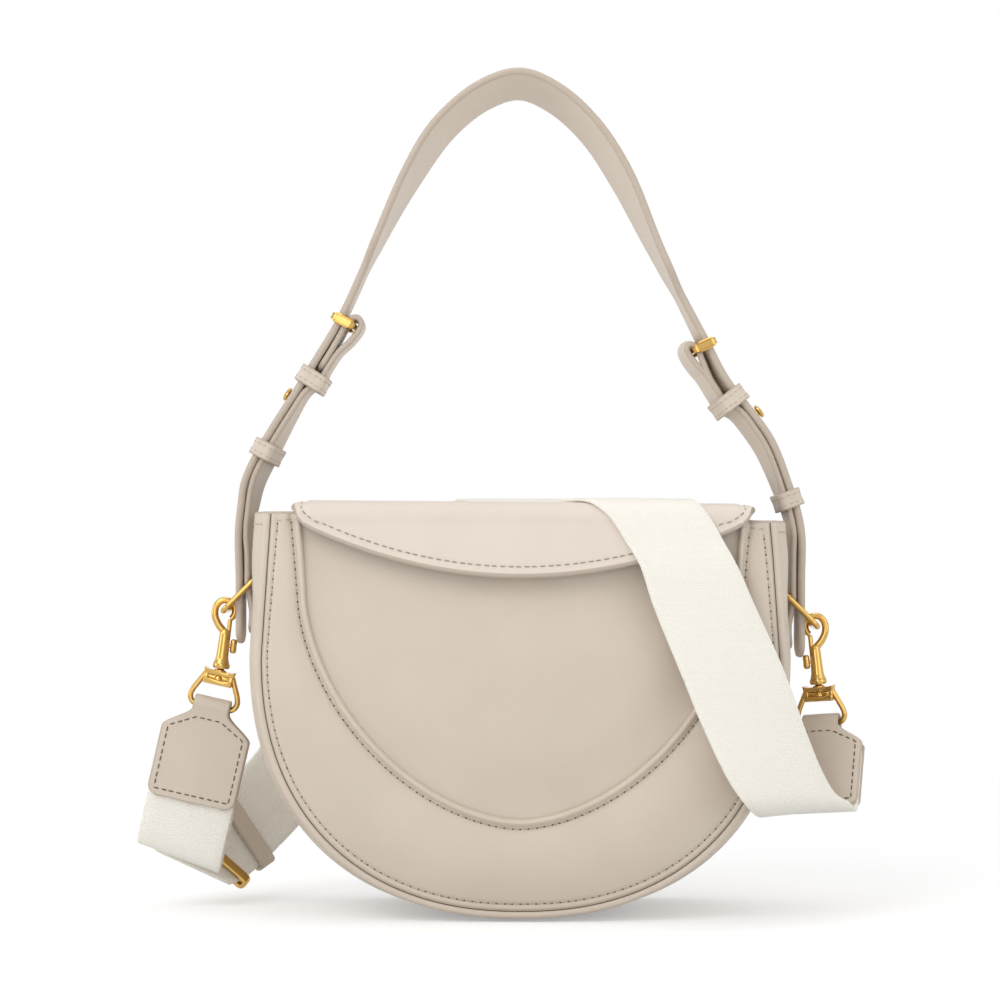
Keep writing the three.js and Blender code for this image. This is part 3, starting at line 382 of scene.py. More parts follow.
class Shape:
    """Points, faces, material numbers and flat sizes that are gathered for one piece."""

    def __init__(self):
        self.points = []
        self.faces = []
        self.slots = []
        self.flat = []
        self.hard = []
        self.count = 0

    def add_points(self, points, flat=None):
        """Adds points and returns the first one's number."""
        points = np.asarray(points, float).reshape(-1, 3)
        self.points.append(points)
        flat = np.zeros((len(points), 2)) if flat is None else np.asarray(flat, float)
        self.flat.append(flat.reshape(-1, 2))
        self.count += len(points)
        return self.count - len(points)

    def add_grid(self, grid, slot=0, closed_rows=False, closed_columns=False, flat=None):
        """Quads over a grid of points; returns the grid of their numbers."""
        n, m = grid.shape[:2]
        ids = self.add_points(grid, flat) + np.arange(n * m).reshape(n, m)
        self.add_quads(ids, slot, closed_rows, closed_columns)
        return ids

    def add_quads(self, ids, slot=0, closed_rows=False, closed_columns=False):
        if closed_rows:
            ids = np.vstack([ids, ids[:1]])
        if closed_columns:
            ids = np.hstack([ids, ids[:, :1]])
        quads = np.stack([ids[:-1, :-1], ids[1:, :-1], ids[1:, 1:], ids[:-1, 1:]], axis=-1).reshape(-1, 4)
        self.faces.extend(quads.tolist())
        self.slots.extend([slot] * len(quads))

    def tube(self, rings, slot=0):
        """Closed rings one after the other, with a face over each end."""
        ids = self.add_grid(np.asarray(rings), slot, False, True)
        self.faces.extend([ids[0][::-1].tolist(), ids[-1].tolist()])
        self.slots.extend([slot, slot])

    def shell(self, front, back, rim_slot=1, closed=False, rims=None, flat=None):
        """Two facing grids joined round their borders; rims are rows of border points between them."""
        top = self.add_grid(front, 0, closed, flat=flat)
        under = self.add_grid(back, 0, closed, flat=flat)
        for k, (i, j) in enumerate(border(*front.shape[:2], closed)):
            rows = [top[i, j]]
            for rim in rims[k] if rims else ():
                rows.append(self.add_points(rim, None if flat is None else flat[i, j]) + np.arange(len(i)))
            self.add_quads(np.stack(rows + [under[i, j]]), rim_slot, closed_columns=True)
        return top, under

    def slab(self, grid, thick, rim_slot=1, closed=False, normals=None, flat=None, steps=5):
        """A sheet of the given thickness about a grid, with round rims."""
        nor = grid_normals(grid) if normals is None else normals
        half = np.broadcast_to(np.asarray(thick, float) / 2, grid.shape[:2])[..., None]
        out = np.zeros_like(grid)
        out[:, 0] += unit(grid[:, 0] - grid[:, 1])
        out[:, -1] += unit(grid[:, -1] - grid[:, -2])
        if not closed:
            out[0] += unit(grid[0] - grid[1])
            out[-1] += unit(grid[-1] - grid[-2])
        out = unit(out)
        turns = [(math.cos(turn), math.sin(turn)) for turn in np.linspace(0, math.pi, steps + 1)[1:-1]]
        rims = [[grid[i, j] + half[i, j] * (cos * nor[i, j] + sin * out[i, j]) for cos, sin in turns]
                for i, j in border(*grid.shape[:2], closed)]
        return self.shell(grid + nor * half, grid - nor * half, rim_slot, closed, rims, flat)

    def sweep(self, path, section, up, slot=0, closed=False, scale=None):
        """A section (across, up) carried along a path."""
        path = np.asarray(path, float)
        along = tangents(path, closed)
        up = np.broadcast_to(np.asarray(up, float), path.shape)
        up = unit(up - np.sum(up * along, axis=1, keepdims=True) * along)
        across = np.cross(along, up)
        size = np.ones(len(path)) if scale is None else scale
        ring = section[None, :, :1] * across[:, None] + section[None, :, 1:] * up[:, None]
        grid = path[:, None] + size[:, None, None] * ring
        if closed:
            self.add_grid(grid, slot, True, True)
        else:
            self.tube(grid, slot)

    def lathe(self, profile, origin, axis, segments=32):
        """A profile of (radius, height) turned about an axis."""
        axis = unit(axis)
        side = unit(np.cross(axis, (0.3, 1, 0.2)))
        ring = disc(1, segments) @ np.stack([side, np.cross(axis, side)])
        self.tube([origin + height * axis + radius * ring for radius, height in profile])

    def prism(self, outline, depth, origin, axes, soft):
        """An outline (across, up) given a depth along the third axis, with softened edges."""
        outline = spread(outline, 0.5, True)
        toward = unit(outline - outline.mean(axis=0))
        edge = [(0.5 * depth - soft, 0), (0.5 * depth - soft * 0.3, soft * 0.3), (0.5 * depth, soft)]
        rings = []
        for offset, shrink in [(-offset, shrink) for offset, shrink in edge[::-1]] + edge:
            flat = outline - shrink * toward
            rings.append(origin + flat[:, :1] * axes[0] + flat[:, 1:] * axes[1] + offset * axes[2])
        self.tube(rings)

    def stitches(self, path, normals, slot=THREAD_SLOT, pitch=STITCH_PITCH, radius=STITCH_RADIUS,
                 closed=False, share=0.34, shift=0.5):
        """A row of short thread lengths whose ends dip in; share is half a length over the pitch."""
        s = arc_length(path)
        dense = spread(path, STITCH_STEP, closed)
        along = tangents(dense, closed)
        count = max(1, int(len(dense) * STITCH_STEP / pitch))
        at = ((np.arange(count) + shift) * len(dense) / count).astype(int)
        nor = unit(sample(np.minimum(at * STITCH_STEP, s[-1]), s, np.broadcast_to(normals, path.shape)))
        for centre, tangent, normal in zip(dense[at], along[at], nor):
            ring = disc(radius, 6) @ np.stack([normal, np.cross(tangent, normal)])
            self.tube([centre + step * share * pitch * tangent + lift * radius * normal + size * ring
                       for step, lift, size in STITCH_RINGS], slot)


# Materials
def srgb(r, g, b):
    """Linear colour of an 8-bit screen colour."""
    values = np.array([r, g, b]) / 255
    return tuple(np.where(values <= 0.04045, values / 12.92, ((values + 0.055) / 1.055) ** 2.4)) + (1.0,)


def tinted(colour, share):
    return tuple(min(c * share, 1) for c in colour[:3]) + (1.0,)


def feed(made, inputs):
    """Gives a node's inputs, by name or number, a value or a link."""
    for key, value in inputs.items():
        if isinstance(value, bpy.types.NodeSocket):
            made.id_data.links.new(value, made.inputs[key])
        else:
            made.inputs[key].default_value = value


def node(tree, kind, inputs=None, **settings):
    made = tree.nodes.new(kind)
    for key, value in settings.items():
        setattr(made, key, value)
    feed(made, inputs or {})
    return made


def calculate(tree, operation, *values):
    return node(tree, "ShaderNodeMath", dict(enumerate(values)), operation=operation).outputs[0]


def noise(tree, place, scale, detail=3):
    inputs = {"Scale": scale, "Detail": detail, "Roughness": 0.55, "Vector": place}
    return node(tree, "ShaderNodeTexNoise", inputs).outputs["Fac"]


def mix_colour(tree, factor, low, high):
    return node(tree, "ShaderNodeMix", {0: factor, 6: low, 7: high}, data_type="RGBA").outputs[2]


def relief(tree, height, strength, distance):
    inputs = {"Strength": strength, "Distance": distance, "Height": height}
    return node(tree, "ShaderNodeBump", inputs).outputs["Normal"]


def new_material(name):
    material = bpy.data.materials.new(name)
    material.use_nodes = True
    return material, material.node_tree, material.node_tree.nodes["Principled BSDF"]


def plain_material(name, colour, rough, metallic=0.0):
    material, _, shader = new_material(name)
    feed(shader, {"Base Color": colour, "Metallic": metallic, "Roughness": rough})
    return material


def leather_material(name, colour):
    """Soft mottling and a fine grain."""
    material, tree, shader = new_material(name)
    place = node(tree, "ShaderNodeTexCoord").outputs["Object"]
    mottle = mix_colour(tree, noise(tree, place, 38, 4), tinted(colour, 0.93), tinted(colour, 1.05))
    cells = node(tree, "ShaderNodeTexVoronoi", {"Scale": 1500, "Vector": place}).outputs["Distance"]
    grain = calculate(tree, "ADD", cells, noise(tree, place, 420))
    feed(shader, {"Base Color": mottle, "Normal": relief(tree, grain, 0.28, 0.00012), "Roughness": 0.44,
                  "Specular IOR Level": 0.42})
    return material


def webbing_material(name, colour):
    """Plain weave of ribs and picks, in the webbing's own flat sizes; its colour darkens in the weave's
    hollows as painted shade.
    """
    material, tree, shader = new_material(name)
    flat = node(tree, "ShaderNodeAttribute", attribute_name="flat").outputs["Vector"]
    split = node(tree, "ShaderNodeSeparateXYZ", {0: flat})
    turns = [(split.outputs[axis], 2 * math.pi / pitch) for axis, pitch in WEAVE_PITCH.items()]
    ribs, picks = [calculate(tree, "SINE", calculate(tree, "MULTIPLY", *turn)) for turn in turns]
    height = calculate(tree, "MULTIPLY_ADD", calculate(tree, "MULTIPLY", ribs, picks), 0.55,
                       calculate(tree, "ADD", picks, ribs))
    # Painted shade: the base colour goes darker where the weave sinks
    shade = node(tree, "ShaderNodeMapRange", {"From Min": -2.5, "From Max": 2.5, "Value": height}).outputs[0]
    feed(shader, {"Base Color": mix_colour(tree, shade, tinted(colour, 0.9), colour),
                  "Normal": relief(tree, height, 0.35, 0.00014), "Roughness": 0.82, "Sheen Weight": 0.25})
    return material


def lining_material(name, colour):
    """Dark cloth with a diagonal twill."""
    material, tree, shader = new_material(name)
    place = node(tree, "ShaderNodeTexCoord").outputs["Object"]
    weave = node(tree, "ShaderNodeTexWave", {"Scale": 700, "Vector": place}, wave_type="BANDS",
                 bands_direction="DIAGONAL").outputs["Fac"]
    feed(shader, {"Base Color": colour, "Normal": relief(tree, weave, 0.4, 0.0001), "Roughness": 0.85})
    return material


LEATHER = leather_material("taupe_leather", srgb(208, 195, 180))
FLAP_THREAD = plain_material("flap_thread", srgb(158, 144, 127), 0.7)
# Lighter than the body leather as painted light for the flap's better-lit top, and slightly pinker
FLAP_LEATHER_PAINTED_LIGHTER = leather_material("flap_leather", srgb(220, 208, 196))
EDGE = plain_material("painted_edge", srgb(188, 174, 159), 0.5)
THREAD = plain_material("thread", srgb(186, 172, 154), 0.7)
# Painted shade: dark thread for the needle holes, the chape stitches and the groove beside the piping
PAINTED_SHADE_THREAD = plain_material("painted_shade_thread", srgb(100, 84, 70), 0.7)
GOLD = plain_material("gold", srgb(206, 168, 98), 0.17, 1.0)
STEEL = plain_material("spring_steel", srgb(190, 190, 192), 0.3, 1.0)
WEBBING = webbing_material("cream_webbing", srgb(246, 242, 232))
LINING = lining_material("dark_lining", srgb(40, 34, 31))
SEWN = [LEATHER, EDGE, THREAD, PAINTED_SHADE_THREAD]


def add_object(name, data):
    made = bpy.data.objects.new(name, data)
    bpy.context.scene.collection.objects.link(made)
    return made


def piece(name, shape, materials, nodes, body=None, blend=None, sharp=None):
    """Makes the object, hides the CAD nodes it stands for, and hangs it on the body it moves with, or leaves
    it in place without a parent when it has a blend.
    """
    mesh = bpy.data.meshes.new(name)
    points = np.vstack(shape.points) * MM
    mesh.from_pydata(points.tolist(), [], shape.faces)
    for material in materials:
        mesh.materials.append(material)
    mesh.polygons.foreach_set("material_index", np.array(shape.slots, dtype=np.int32))
    mesh.polygons.foreach_set("use_smooth", np.ones(len(shape.faces), dtype=bool))
    flat = mesh.attributes.new("flat", "FLOAT_VECTOR", "POINT")
    sizes = np.vstack(shape.flat)
    flat.data.foreach_set("vector", np.hstack([sizes, np.zeros((len(sizes), 1))]).ravel())
    work = bmesh.new()
    work.from_mesh(mesh)
    bmesh.ops.recalc_face_normals(work, faces=work.faces)
    work.to_mesh(mesh)
    work.free()
    if sharp is not None:
        mesh.set_sharp_from_angle(angle=math.radians(sharp))
    if shape.hard:
        pairs = np.empty(2 * len(mesh.edges), dtype=np.int32)
        mesh.edges.foreach_get("vertices", pairs)
        crease = mesh.attributes.new("sharp_edge", "BOOLEAN", "EDGE")
        crease.data.foreach_set("value", np.isin(pairs.reshape(-1, 2), shape.hard).all(axis=1))
    made = add_object(name, mesh)
    if nodes:
        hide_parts(*nodes)
    if blend:
        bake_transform(made)
    else:
        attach(made, body)
    return made


def use_material(name, material):
    """Gives a CAD node that stays in view a material."""
    materials = frame["nodes"][name].data.materials
    materials.clear()
    materials.append(material)


# Camera: level, in front of the bag, as the photograph was taken
camera_data = bpy.data.cameras.new("camera")
camera_data.lens = 90.2
camera_data.sensor_width = 36
camera_data.shift_y = 0.0655
camera = add_object("camera", camera_data)
camera.location = (-8.5 * MM, -1080 * MM, 148 * MM)
camera.rotation_euler = (QUARTER, 0, 0)
bpy.context.scene.camera = camera


# Body
def rim_point(angle, rise, inset, foot=0):
    """x and z of the body's outline at an inset."""
    cos = np.cos(angle)
    half = HALF_WIDTH + (TOP_HALF_WIDTH - HALF_WIDTH) * rise - inset
    x = -np.sign(cos) * half * np.abs(cos) ** (2 / POWER)
    z = WIDEST + (BODY_TOP - WIDEST) * rise - (FOOT_REACH - inset) * np.abs(np.sin(angle)) ** (2 / POWER)
    return x, np.maximum(z, foot)


def rim_stations(step):
    """Angle and rise of evenly spaced points on the body's outline, from left top round to right top."""
    rise = np.r_[np.linspace(1, 0, 60), np.zeros(400), np.linspace(0, 1, 60)]
    angle = np.r_[np.zeros(60), np.linspace(0, math.pi, 400), np.full(60, math.pi)]
    s = arc_length(np.stack(rim_point(angle, rise, 0), axis=1))
    at = np.linspace(0, s[-1], int(s[-1] / step) + 1)
    return np.interp(at, s, angle), np.interp(at, s, rise)


ANGLE, RISE = rim_stations(RIM_STEP)


def swell_at(z):
    """How far the side strip swells out beyond its outline."""
    return SIDE_SWELL * (1 + smoothstep(z, *SIDE_SWELL_GROWS))


def settled(grid):
    """The body's top edge sits a little low, most at the right end."""
    x, y, z = np.moveaxis(grid, -1, 0)
    low = TOP_DROP + RIGHT_DROP * smoothstep(x, *RIGHT_DROP_X)
    return np.stack([x, y, z - low * smoothstep(z, DROP_FROM_Z, BODY_TOP)], axis=-1)


def panel_out(x, z):
    """How far the panels stand out from the middle of the bag."""
    rise = np.clip((z - WIDEST) / (BODY_TOP - WIDEST), 0, 1)
    wide = np.abs(x) / (HALF_WIDTH + (TOP_HALF_WIDTH - HALF_WIDTH) * rise - SEAM_INSET)
    low = np.maximum(WIDEST - z, 0) / (FOOT_REACH - SEAM_INSET)
    reach = (wide ** POWER + low ** POWER) ** (1 / POWER)
    dome = PANEL_DOME * (1 - TOP_FLATTENING * smoothstep(z, WIDEST, BODY_TOP))
    return PANEL_OUT + dome * np.maximum(1 - reach ** 2, 0)


def crescent_curves(count):
    """Outer and inner border of the crescent, evenly spaced, as (x, z)."""
    outer = np.stack(rim_point(*rim_stations(0.8), SEAM_INSET + OUTER_INSET), axis=1)
    turn = np.linspace(0, math.pi, 200)
    cos, sin = np.cos(turn), np.sin(turn)
    power = 2 / INNER_POWER
    arc = np.stack([-INNER_HALF * np.sign(cos) * np.abs(cos) ** power,
                    INNER_LEVEL - INNER_DEPTH * sin ** power], axis=1)
    side = np.linspace(1, 0, 30)[:-1]
    left = np.stack([-INNER_HALF - INNER_SPREAD * side,
                     INNER_LEVEL + (BODY_TOP - INNER_LEVEL) * side], axis=1)
    inner = np.vstack([left, arc, (left * (-1, 1))[::-1]])
    lengths = [arc_length(curve) for curve in (outer, inner)]
    return [sample(np.linspace(0, s[-1], count), s, curve) for s, curve in zip(lengths, (outer, inner))]


def inside_crescent(x, z):
    """How far inside the crescent's inner border, in mm, roughly."""
    low = np.clip(INNER_LEVEL - z, 0, None) / INNER_DEPTH
    rise = np.clip((z - INNER_LEVEL) / (BODY_TOP - INNER_LEVEL), 0, 1)
    wide = np.abs(x) / (INNER_HALF + INNER_SPREAD * rise)
    return (1 - (wide ** INNER_POWER + low ** INNER_POWER) ** (1 / INNER_POWER)) * INNER_REACH


def panel_net(inset):
    """Net of points over a panel, level rows between its two edges."""
    angle = np.r_[np.linspace(math.radians(87), 0, 70), np.zeros(25)]
    rise = np.r_[np.zeros(70), np.linspace(0, 1, 26)[1:]]
    half, z = rim_point(angle, rise, inset)
    x = np.abs(half)[:, None] * np.sin(np.linspace(-QUARTER, QUARTER, 75))[None]
    return x, np.broadcast_to(z[:, None], x.shape)


def make_panel(front):
    """Domed leather panel; the front one swells inside the crescent, the back one has a faint wave."""
    x, z = panel_net(SEAM_INSET)
    out = panel_out(x, z) - PANEL_WALL / 2
    if front:
        swell = FRONT_SWELL * smoothstep(inside_crescent(x, z), *FRONT_SWELL_RIM)
        out = -out - swell * (1 - smoothstep(z, *FRONT_SWELL_FADES))
    else:
        from_rim = x[:, -1:] - np.abs(x)
        out = out + BACK_WAVE * np.sin(x * BACK_WAVE_TURN) * smoothstep(from_rim, 0, BACK_WAVE_RIM)
    shape = Shape()
    shape.slab(settled(np.stack([x, out, z], axis=-1)), PANEL_WALL)
    return shape


def side_strip(y, swell, depth):
    """Rows of a strip round both sides and the bottom, rolled over at its edges and set in by a depth."""
    share = (np.abs(y) - GUSSET_FLAT) / (GUSSET_EDGE - GUSSET_FLAT)
    roll = GUSSET_ROLL * np.clip(share, 0, 1) ** GUSSET_ROLL_POWER
    rows = []
    for a, r in zip(ANGLE, RISE):
        soft = swell * swell_at(WIDEST + (BODY_TOP - WIDEST) * r) * smoothstep(np.abs(math.cos(a)), 0.2, 0.8)
        x, z = rim_point(a, r, roll - soft + depth, foot=depth)
        rows.append(np.stack([x, y, z], axis=1))
    return np.array(rows)


def make_gusset():
    """One strip round both sides and the bottom, with a sewn hem at each top."""
    y = np.linspace(-GUSSET_EDGE, GUSSET_EDGE, 29)
    grid = settled(side_strip(y, bump(y, SIDE_SWELL_Y, SIDE_SWELL_REACH), GUSSET_WALL / 2))
    shape = Shape()
    shape.slab(grid, GUSSET_WALL)
    normals = grid_normals(grid)
    for row in (2, -3):
        nor = normals[row] * np.sign(normals[row][:, :1] * np.sign(grid[row, 14, 0]))
        shape.stitches(grid[row, 2:-2] + nor[2:-2] * GUSSET_WALL / 2, nor[2:-2])
    return shape


def make_lining():
    """Dark cloth inside the bag: two walls, and a strip round both sides and the bottom."""
    x, z = panel_net(SEAM_INSET + LINING_INSET)
    out = panel_out(x, z) - PANEL_WALL - LINING_WALL
    sheets = [np.stack([x, sign * out, z], axis=-1) for sign in (-1, 1)]
    half = GUSSET_EDGE - LINING_MARGIN
    sheets.append(side_strip(np.linspace(-half, half, 15), 0, GUSSET_WALL + LINING_WALL))
    shape = Shape()
    for grid in sheets:
        grid[..., 2] -= LINING_DROP * smoothstep(grid[..., 2], LINING_DROP_FROM, BODY_TOP)
        shape.slab(settled(grid), LINING_WALL)
    return shape


piece("bag_front", make_panel(True), SEWN, ["front_panel"], "bag")
piece("bag_back", make_panel(False), SEWN, ["back_panel"], "bag")
piece("bag_side", make_gusset(), SEWN, ["gusset"], "bag")
piece("bag_lining", make_lining(), [LINING], ["lining"], "bag")


def make_piping(sign):
    """Round piping along a seam, and beside it a thin dark tube that is painted shade in the seam's groove.
    """
    shape = Shape()
    x, z = rim_point(ANGLE, RISE, PIPING_INSET, foot=PIPING_RADIUS)
    y = np.full_like(x, sign * PIPING_Y)
    shape.sweep(settled(np.stack([x, y, z], axis=1)), disc(PIPING_RADIUS, 12), BACKWARD)
    # Painted shade: a thin dark tube along the groove on the inner side of the piping
    x, z = rim_point(ANGLE, RISE, PIPING_INSET + 0.8 * PIPING_RADIUS, foot=1.8 * PIPING_RADIUS)
    seam = np.stack([x, y + sign * 0.6 * PIPING_RADIUS, z], axis=1)
    shape.sweep(settled(seam), disc(SEAM_SHADE_RADIUS, 8), BACKWARD, slot=PAINTED_SHADE_SLOT)
    return shape


for where, sign in (("front", -1), ("back", 1)):
    piece(f"piping_{where}", make_piping(sign), SEWN, [f"{where}_piping"], "bag")


def on_front(x, z, lift):
    """Point at a height over the front panel's dome."""
    return settled(np.stack([x, -(panel_out(x, z) + lift), z], axis=-1))


def make_crescent():
    """Padded overlay: sewn outer margin, soft roll, sewn groove, and a raised bead along the inner border."""
    outer, inner = crescent_curves(CRESCENT_STATIONS)
    width = np.linalg.norm(outer - inner, axis=1)
    wide = width[:, None]
    share = np.unique(np.r_[np.linspace(0, 0.12, 9), np.linspace(0.12, 0.8, 20), np.linspace(0.8, 1, 15)])
    x, z = np.moveaxis(outer[:, None] + (inner - outer)[:, None] * share[None, :, None], -1, 0)
    d = wide * share[None]
    left = wide - d
    full = np.minimum(1, (wide - PAD_FROM_WIDTH) / PAD_GROWS_OVER)
    room = np.clip((d - PAD_OUTER_MARGIN) / np.maximum(wide - PAD_MARGINS, 1), 0, 1)
    pad = PAD_RISE * full * np.sin(math.pi * room) ** PAD_POWER
    bead = BEAD_RISE * np.sqrt(np.clip(1 - ((left - BEAD_RADIUS) / BEAD_RADIUS) ** 2, 0, 1))
    height = CRESCENT_WALL + pad + bead - OUTER_GROOVE * bump(d, OUTER_SEAM, GROOVE_REACH)
    height = height - INNER_GROOVE * bump(left, INNER_SEAM, GROOVE_REACH)
    height = np.where(left < 0.2, CRESCENT_GAP, height * smoothstep(d, -0.5, 0.9))
    surface = on_front(x, z, CRESCENT_GAP + height)
    shape = Shape()
    shape.shell(surface, on_front(x, z, 0.1))
    for distance in (np.full(CRESCENT_STATIONS, OUTER_SEAM), width - INNER_SEAM):
        where = distance / width
        lift = np.array([np.interp(w, share, h) for w, h in zip(where, height)])
        x, z = (outer + (inner - outer) * where[:, None]).T
        row = on_front(x, z, CRESCENT_GAP + lift)[3:-3]
        shape.stitches(row, -BACKWARD, share=0.2)
        # Dark dashes set between the stitches: painted shade of the needle holes
        shape.stitches(row, -BACKWARD, slot=PAINTED_SHADE_SLOT, share=0.17, shift=0)
    for end in (2, -3):
        shape.stitches(spread(surface[end, 8:-8], 1.0), -BACKWARD)
    return shape


crescent = piece("crescent_overlay", make_crescent(), SEWN, ["front_crescent"], "bag")


# Flap
def flap_edge(x):
    """Height of the flap's lower edge."""
    x = np.abs(np.asarray(x, float))
    t = (np.minimum(x, FLAP_SHOULDER) + FLAP_SHOULDER) / (2 * FLAP_SHOULDER)
    edge = FLAP_SHOULDER_Z - FLAP_CURVE * t * (1 - t)
    s = 1 - np.sqrt(np.clip(1 - (x - FLAP_SHOULDER) / (FLAP_HALF - FLAP_SHOULDER), 0, 1))
    corner = FLAP_SHOULDER_Z * (1 - s) ** 2 + 2 * s * (1 - s) * FLAP_CORNER_PULL + FLAP_END_Z * s ** 2
    return np.where(x > FLAP_SHOULDER, corner, edge)


def flap_profile():
    """Middle line of the flap in the side view, from the back band over the top to the lowest front edge."""
    hinge_z = FLAP_LEVEL - FLAP_HINGE_RADIUS
    back = [(FLAP_HINGE_Y + FLAP_HINGE_RADIUS, z) for z in np.linspace(*FLAP_BAND, 8)]
    hinge = [(FLAP_HINGE_Y + FLAP_HINGE_RADIUS * math.cos(a), hinge_z + FLAP_HINGE_RADIUS * math.sin(a))
             for a in np.linspace(0, QUARTER, 9)]
    sag_to = FLAP_CORNER_Y + 2
    top = [(y, FLAP_LEVEL - FLAP_SAG * math.sin(math.pi * (FLAP_SAG_FROM - y) / (FLAP_SAG_FROM - sag_to)))
           for y in np.linspace(FLAP_SAG_FROM, sag_to, 30)]
    corner = [(FLAP_CORNER_Y + FLAP_CORNER * math.cos(a), FLAP_CORNER_Z + FLAP_CORNER * math.sin(a))
              for a in np.linspace(QUARTER, math.pi + FLAP_SLOPE, 14)]
    y0, z0 = corner[-1]
    front = [(y0 - (z0 - z) * math.tan(FLAP_SLOPE), z) for z in np.linspace(z0, FLAP_LOWEST, 30)[1:]]
    return np.array(back + hinge + top + corner + front)


FLAP_LINE = spread(flap_profile(), 0.5)
FLAP_ARC = np.arange(len(FLAP_LINE)) * np.linalg.norm(np.diff(FLAP_LINE, axis=0), axis=1).mean()
FLAP_TABLE = np.hstack([FLAP_LINE, tangents(FLAP_LINE)])


def flap_arc_at_depth(y):
    """Length along the profile where it comes forward to a depth."""
    return np.interp(-np.asarray(y), -FLAP_LINE[:, 0], FLAP_ARC)


FLAP_BEND = float(flap_arc_at_depth(FLAP_CORNER_Y + 3))


def flap_arc_at_height(z):
    """Length along the profile where the front face comes down to a height."""
    front = FLAP_ARC > FLAP_BEND
    return np.interp(-np.asarray(z), -FLAP_LINE[front, 1], FLAP_ARC[front])


def flap_point(x, arc, lift=0):
    """Point of the flap's middle surface, lifted outwards."""
    y, z, ty, tz = np.moveaxis(sample(arc, FLAP_ARC, FLAP_TABLE), -1, 0)
    flip = np.where(ty * (z - FLAP_BAND[0]) - tz * y > 0, lift, -lift)
    ends = FLAP_END_DROP * np.clip((np.abs(x) - FLAP_SHOULDER) / FLAP_END_REACH, 0, 1) ** 2
    ends = ends * (1 - smoothstep(arc, FLAP_BEND + 1, FLAP_BEND + 11))
    x = x * (1 + FLAP_RIGHT_STRETCH * (x > 0))
    level = FLAP_SETTLE + FLAP_TILT * x / FLAP_HALF
    level = level * (1 - smoothstep(arc, FLAP_BEND + 2, FLAP_BEND + 18))
    z = z - (ends + level) * smoothstep(arc, 34, 60)
    return np.stack([x, y - flip * tz, z + flip * ty], axis=-1)


def flap_outward(x, arc):
    return flap_point(x, arc, 1.0) - flap_point(x, arc)


def flap_half(arc):
    """Half width of the flap, narrower at the back."""
    y = np.interp(arc, FLAP_ARC, FLAP_LINE[:, 0])
    return FLAP_HALF - (FLAP_HALF - FLAP_REAR_HALF) * smoothstep(y, *FLAP_NARROWS)


def make_flap():
    """Flap from its band on the back to the curved free edge, with a shallow groove under its stitches."""
    x = FLAP_HALF * np.sin(np.linspace(-QUARTER, QUARTER, 97))
    end = flap_arc_at_height(flap_edge(x))
    fixed = np.arange(0, FLAP_BEND, 2.0)
    rim = FLAP_THICKNESS / 2
    arcs = np.vstack([np.broadcast_to(fixed[:, None], (len(fixed), len(x))),
                      FLAP_BEND + np.linspace(0, 1, 36)[:, None] * (end - rim - FLAP_BEND)[None]])
    xs = x[None] * (flap_half(arcs) - rim) / FLAP_HALF
    grid = flap_point(xs, arcs)
    thick = FLAP_BAND_THICKNESS + (FLAP_THICKNESS - FLAP_BAND_THICKNESS) * smoothstep(arcs, 0, FLAP_TAPER)
    normals = grid_normals(grid)
    normals *= np.sign(np.sum(normals * flap_outward(xs, arcs), axis=-1, keepdims=True))
    inset = np.minimum(np.maximum(end[None] - arcs, 0), (FLAP_HALF - np.abs(x))[None])
    groove = FLAP_GROOVE * bump(inset, *FLAP_GROOVE_AT)
    shape = Shape()
    shape.slab(grid - normals * groove[..., None] * 0.5, thick - groove, normals=normals)
    # One row along the free edge, and one along each side
    sx = FLAP_SEAM_HALF * np.sin(np.linspace(-QUARTER, QUARTER, 220))
    sx = sx[np.abs(sx) < FLAP_SEAM_HALF - 0.2]
    edge_x = np.clip(sx * 1.028, 0.1 - FLAP_HALF, FLAP_HALF - 0.1)
    free = flap_arc_at_height(flap_edge(edge_x)) - FLAP_SEAM
    rows = [(sx, free, FLAP_THICKNESS / 2 - 0.35)]
    arc = np.linspace(14, float(free[0]), 90)
    lift = 0.5 * np.interp(arc, [0, FLAP_TAPER], [FLAP_BAND_THICKNESS, FLAP_THICKNESS]) - 0.3
    rows += [(sign * (flap_half(arc) - FLAP_SIDE_SEAM), arc, lift) for sign in (-1, 1)]
    for across, along, lift in rows:
        shape.stitches(flap_point(across, along, lift), flap_outward(across, along))
    return shape


def make_flap_lining():
    """Dark cloth under the flap, from just in front of the hinge to short of the free edge."""
    half = FLAP_HALF - FLAP_LINING_MARGIN
    x = half * np.sin(np.linspace(-QUARTER, QUARTER, 49))[None]
    end = flap_arc_at_height(np.minimum(flap_edge(x * 0.99) + FLAP_LINING_RISE, FLAP_END_Z - 0.5))
    start = flap_arc_at_depth(FLAP_LINING_FROM)
    arcs = start + np.linspace(0, 1, 60)[:, None] * (end - start)
    grid = flap_point(x * (flap_half(arcs) - FLAP_LINING_MARGIN) / half, arcs, -FLAP_LINING_DEPTH)
    shape = Shape()
    shape.slab(grid, LINING_WALL, normals=flap_outward(np.broadcast_to(x, arcs.shape), arcs), rim_slot=0)
    return shape


piece("flap_cloth", make_flap_lining(), [LINING], ["flap_lining"], "flap")
piece("flap_leather_sheet", make_flap(), [FLAP_LEATHER_PAINTED_LIGHTER, EDGE, FLAP_THREAD], ["flap"],
      blend=("bag", "flap", (0, 42, 165), (0, 34, 176)))


# Handle
def handle_curve():
    """Middle line of the handle as (x, z), from the left tail's end to the right one's."""
    halves = []
    for side, sign in SIDES.items():
        x = TAIL_X[side]
        tail = [(1, TAIL_END[side]), (1, 128), (1, 142)]
        halves.append([(sign * share * x, z) for share, z in tail + HANDLE_HALVES[side]])
    return spline(halves[0] + [HANDLE_TOP] + halves[1][::-1], 0.5)


HANDLE = handle_curve()
HANDLE_ARC = arc_length(HANDLE)
HANDLE_TABLE = np.hstack([HANDLE, tangents(HANDLE)])


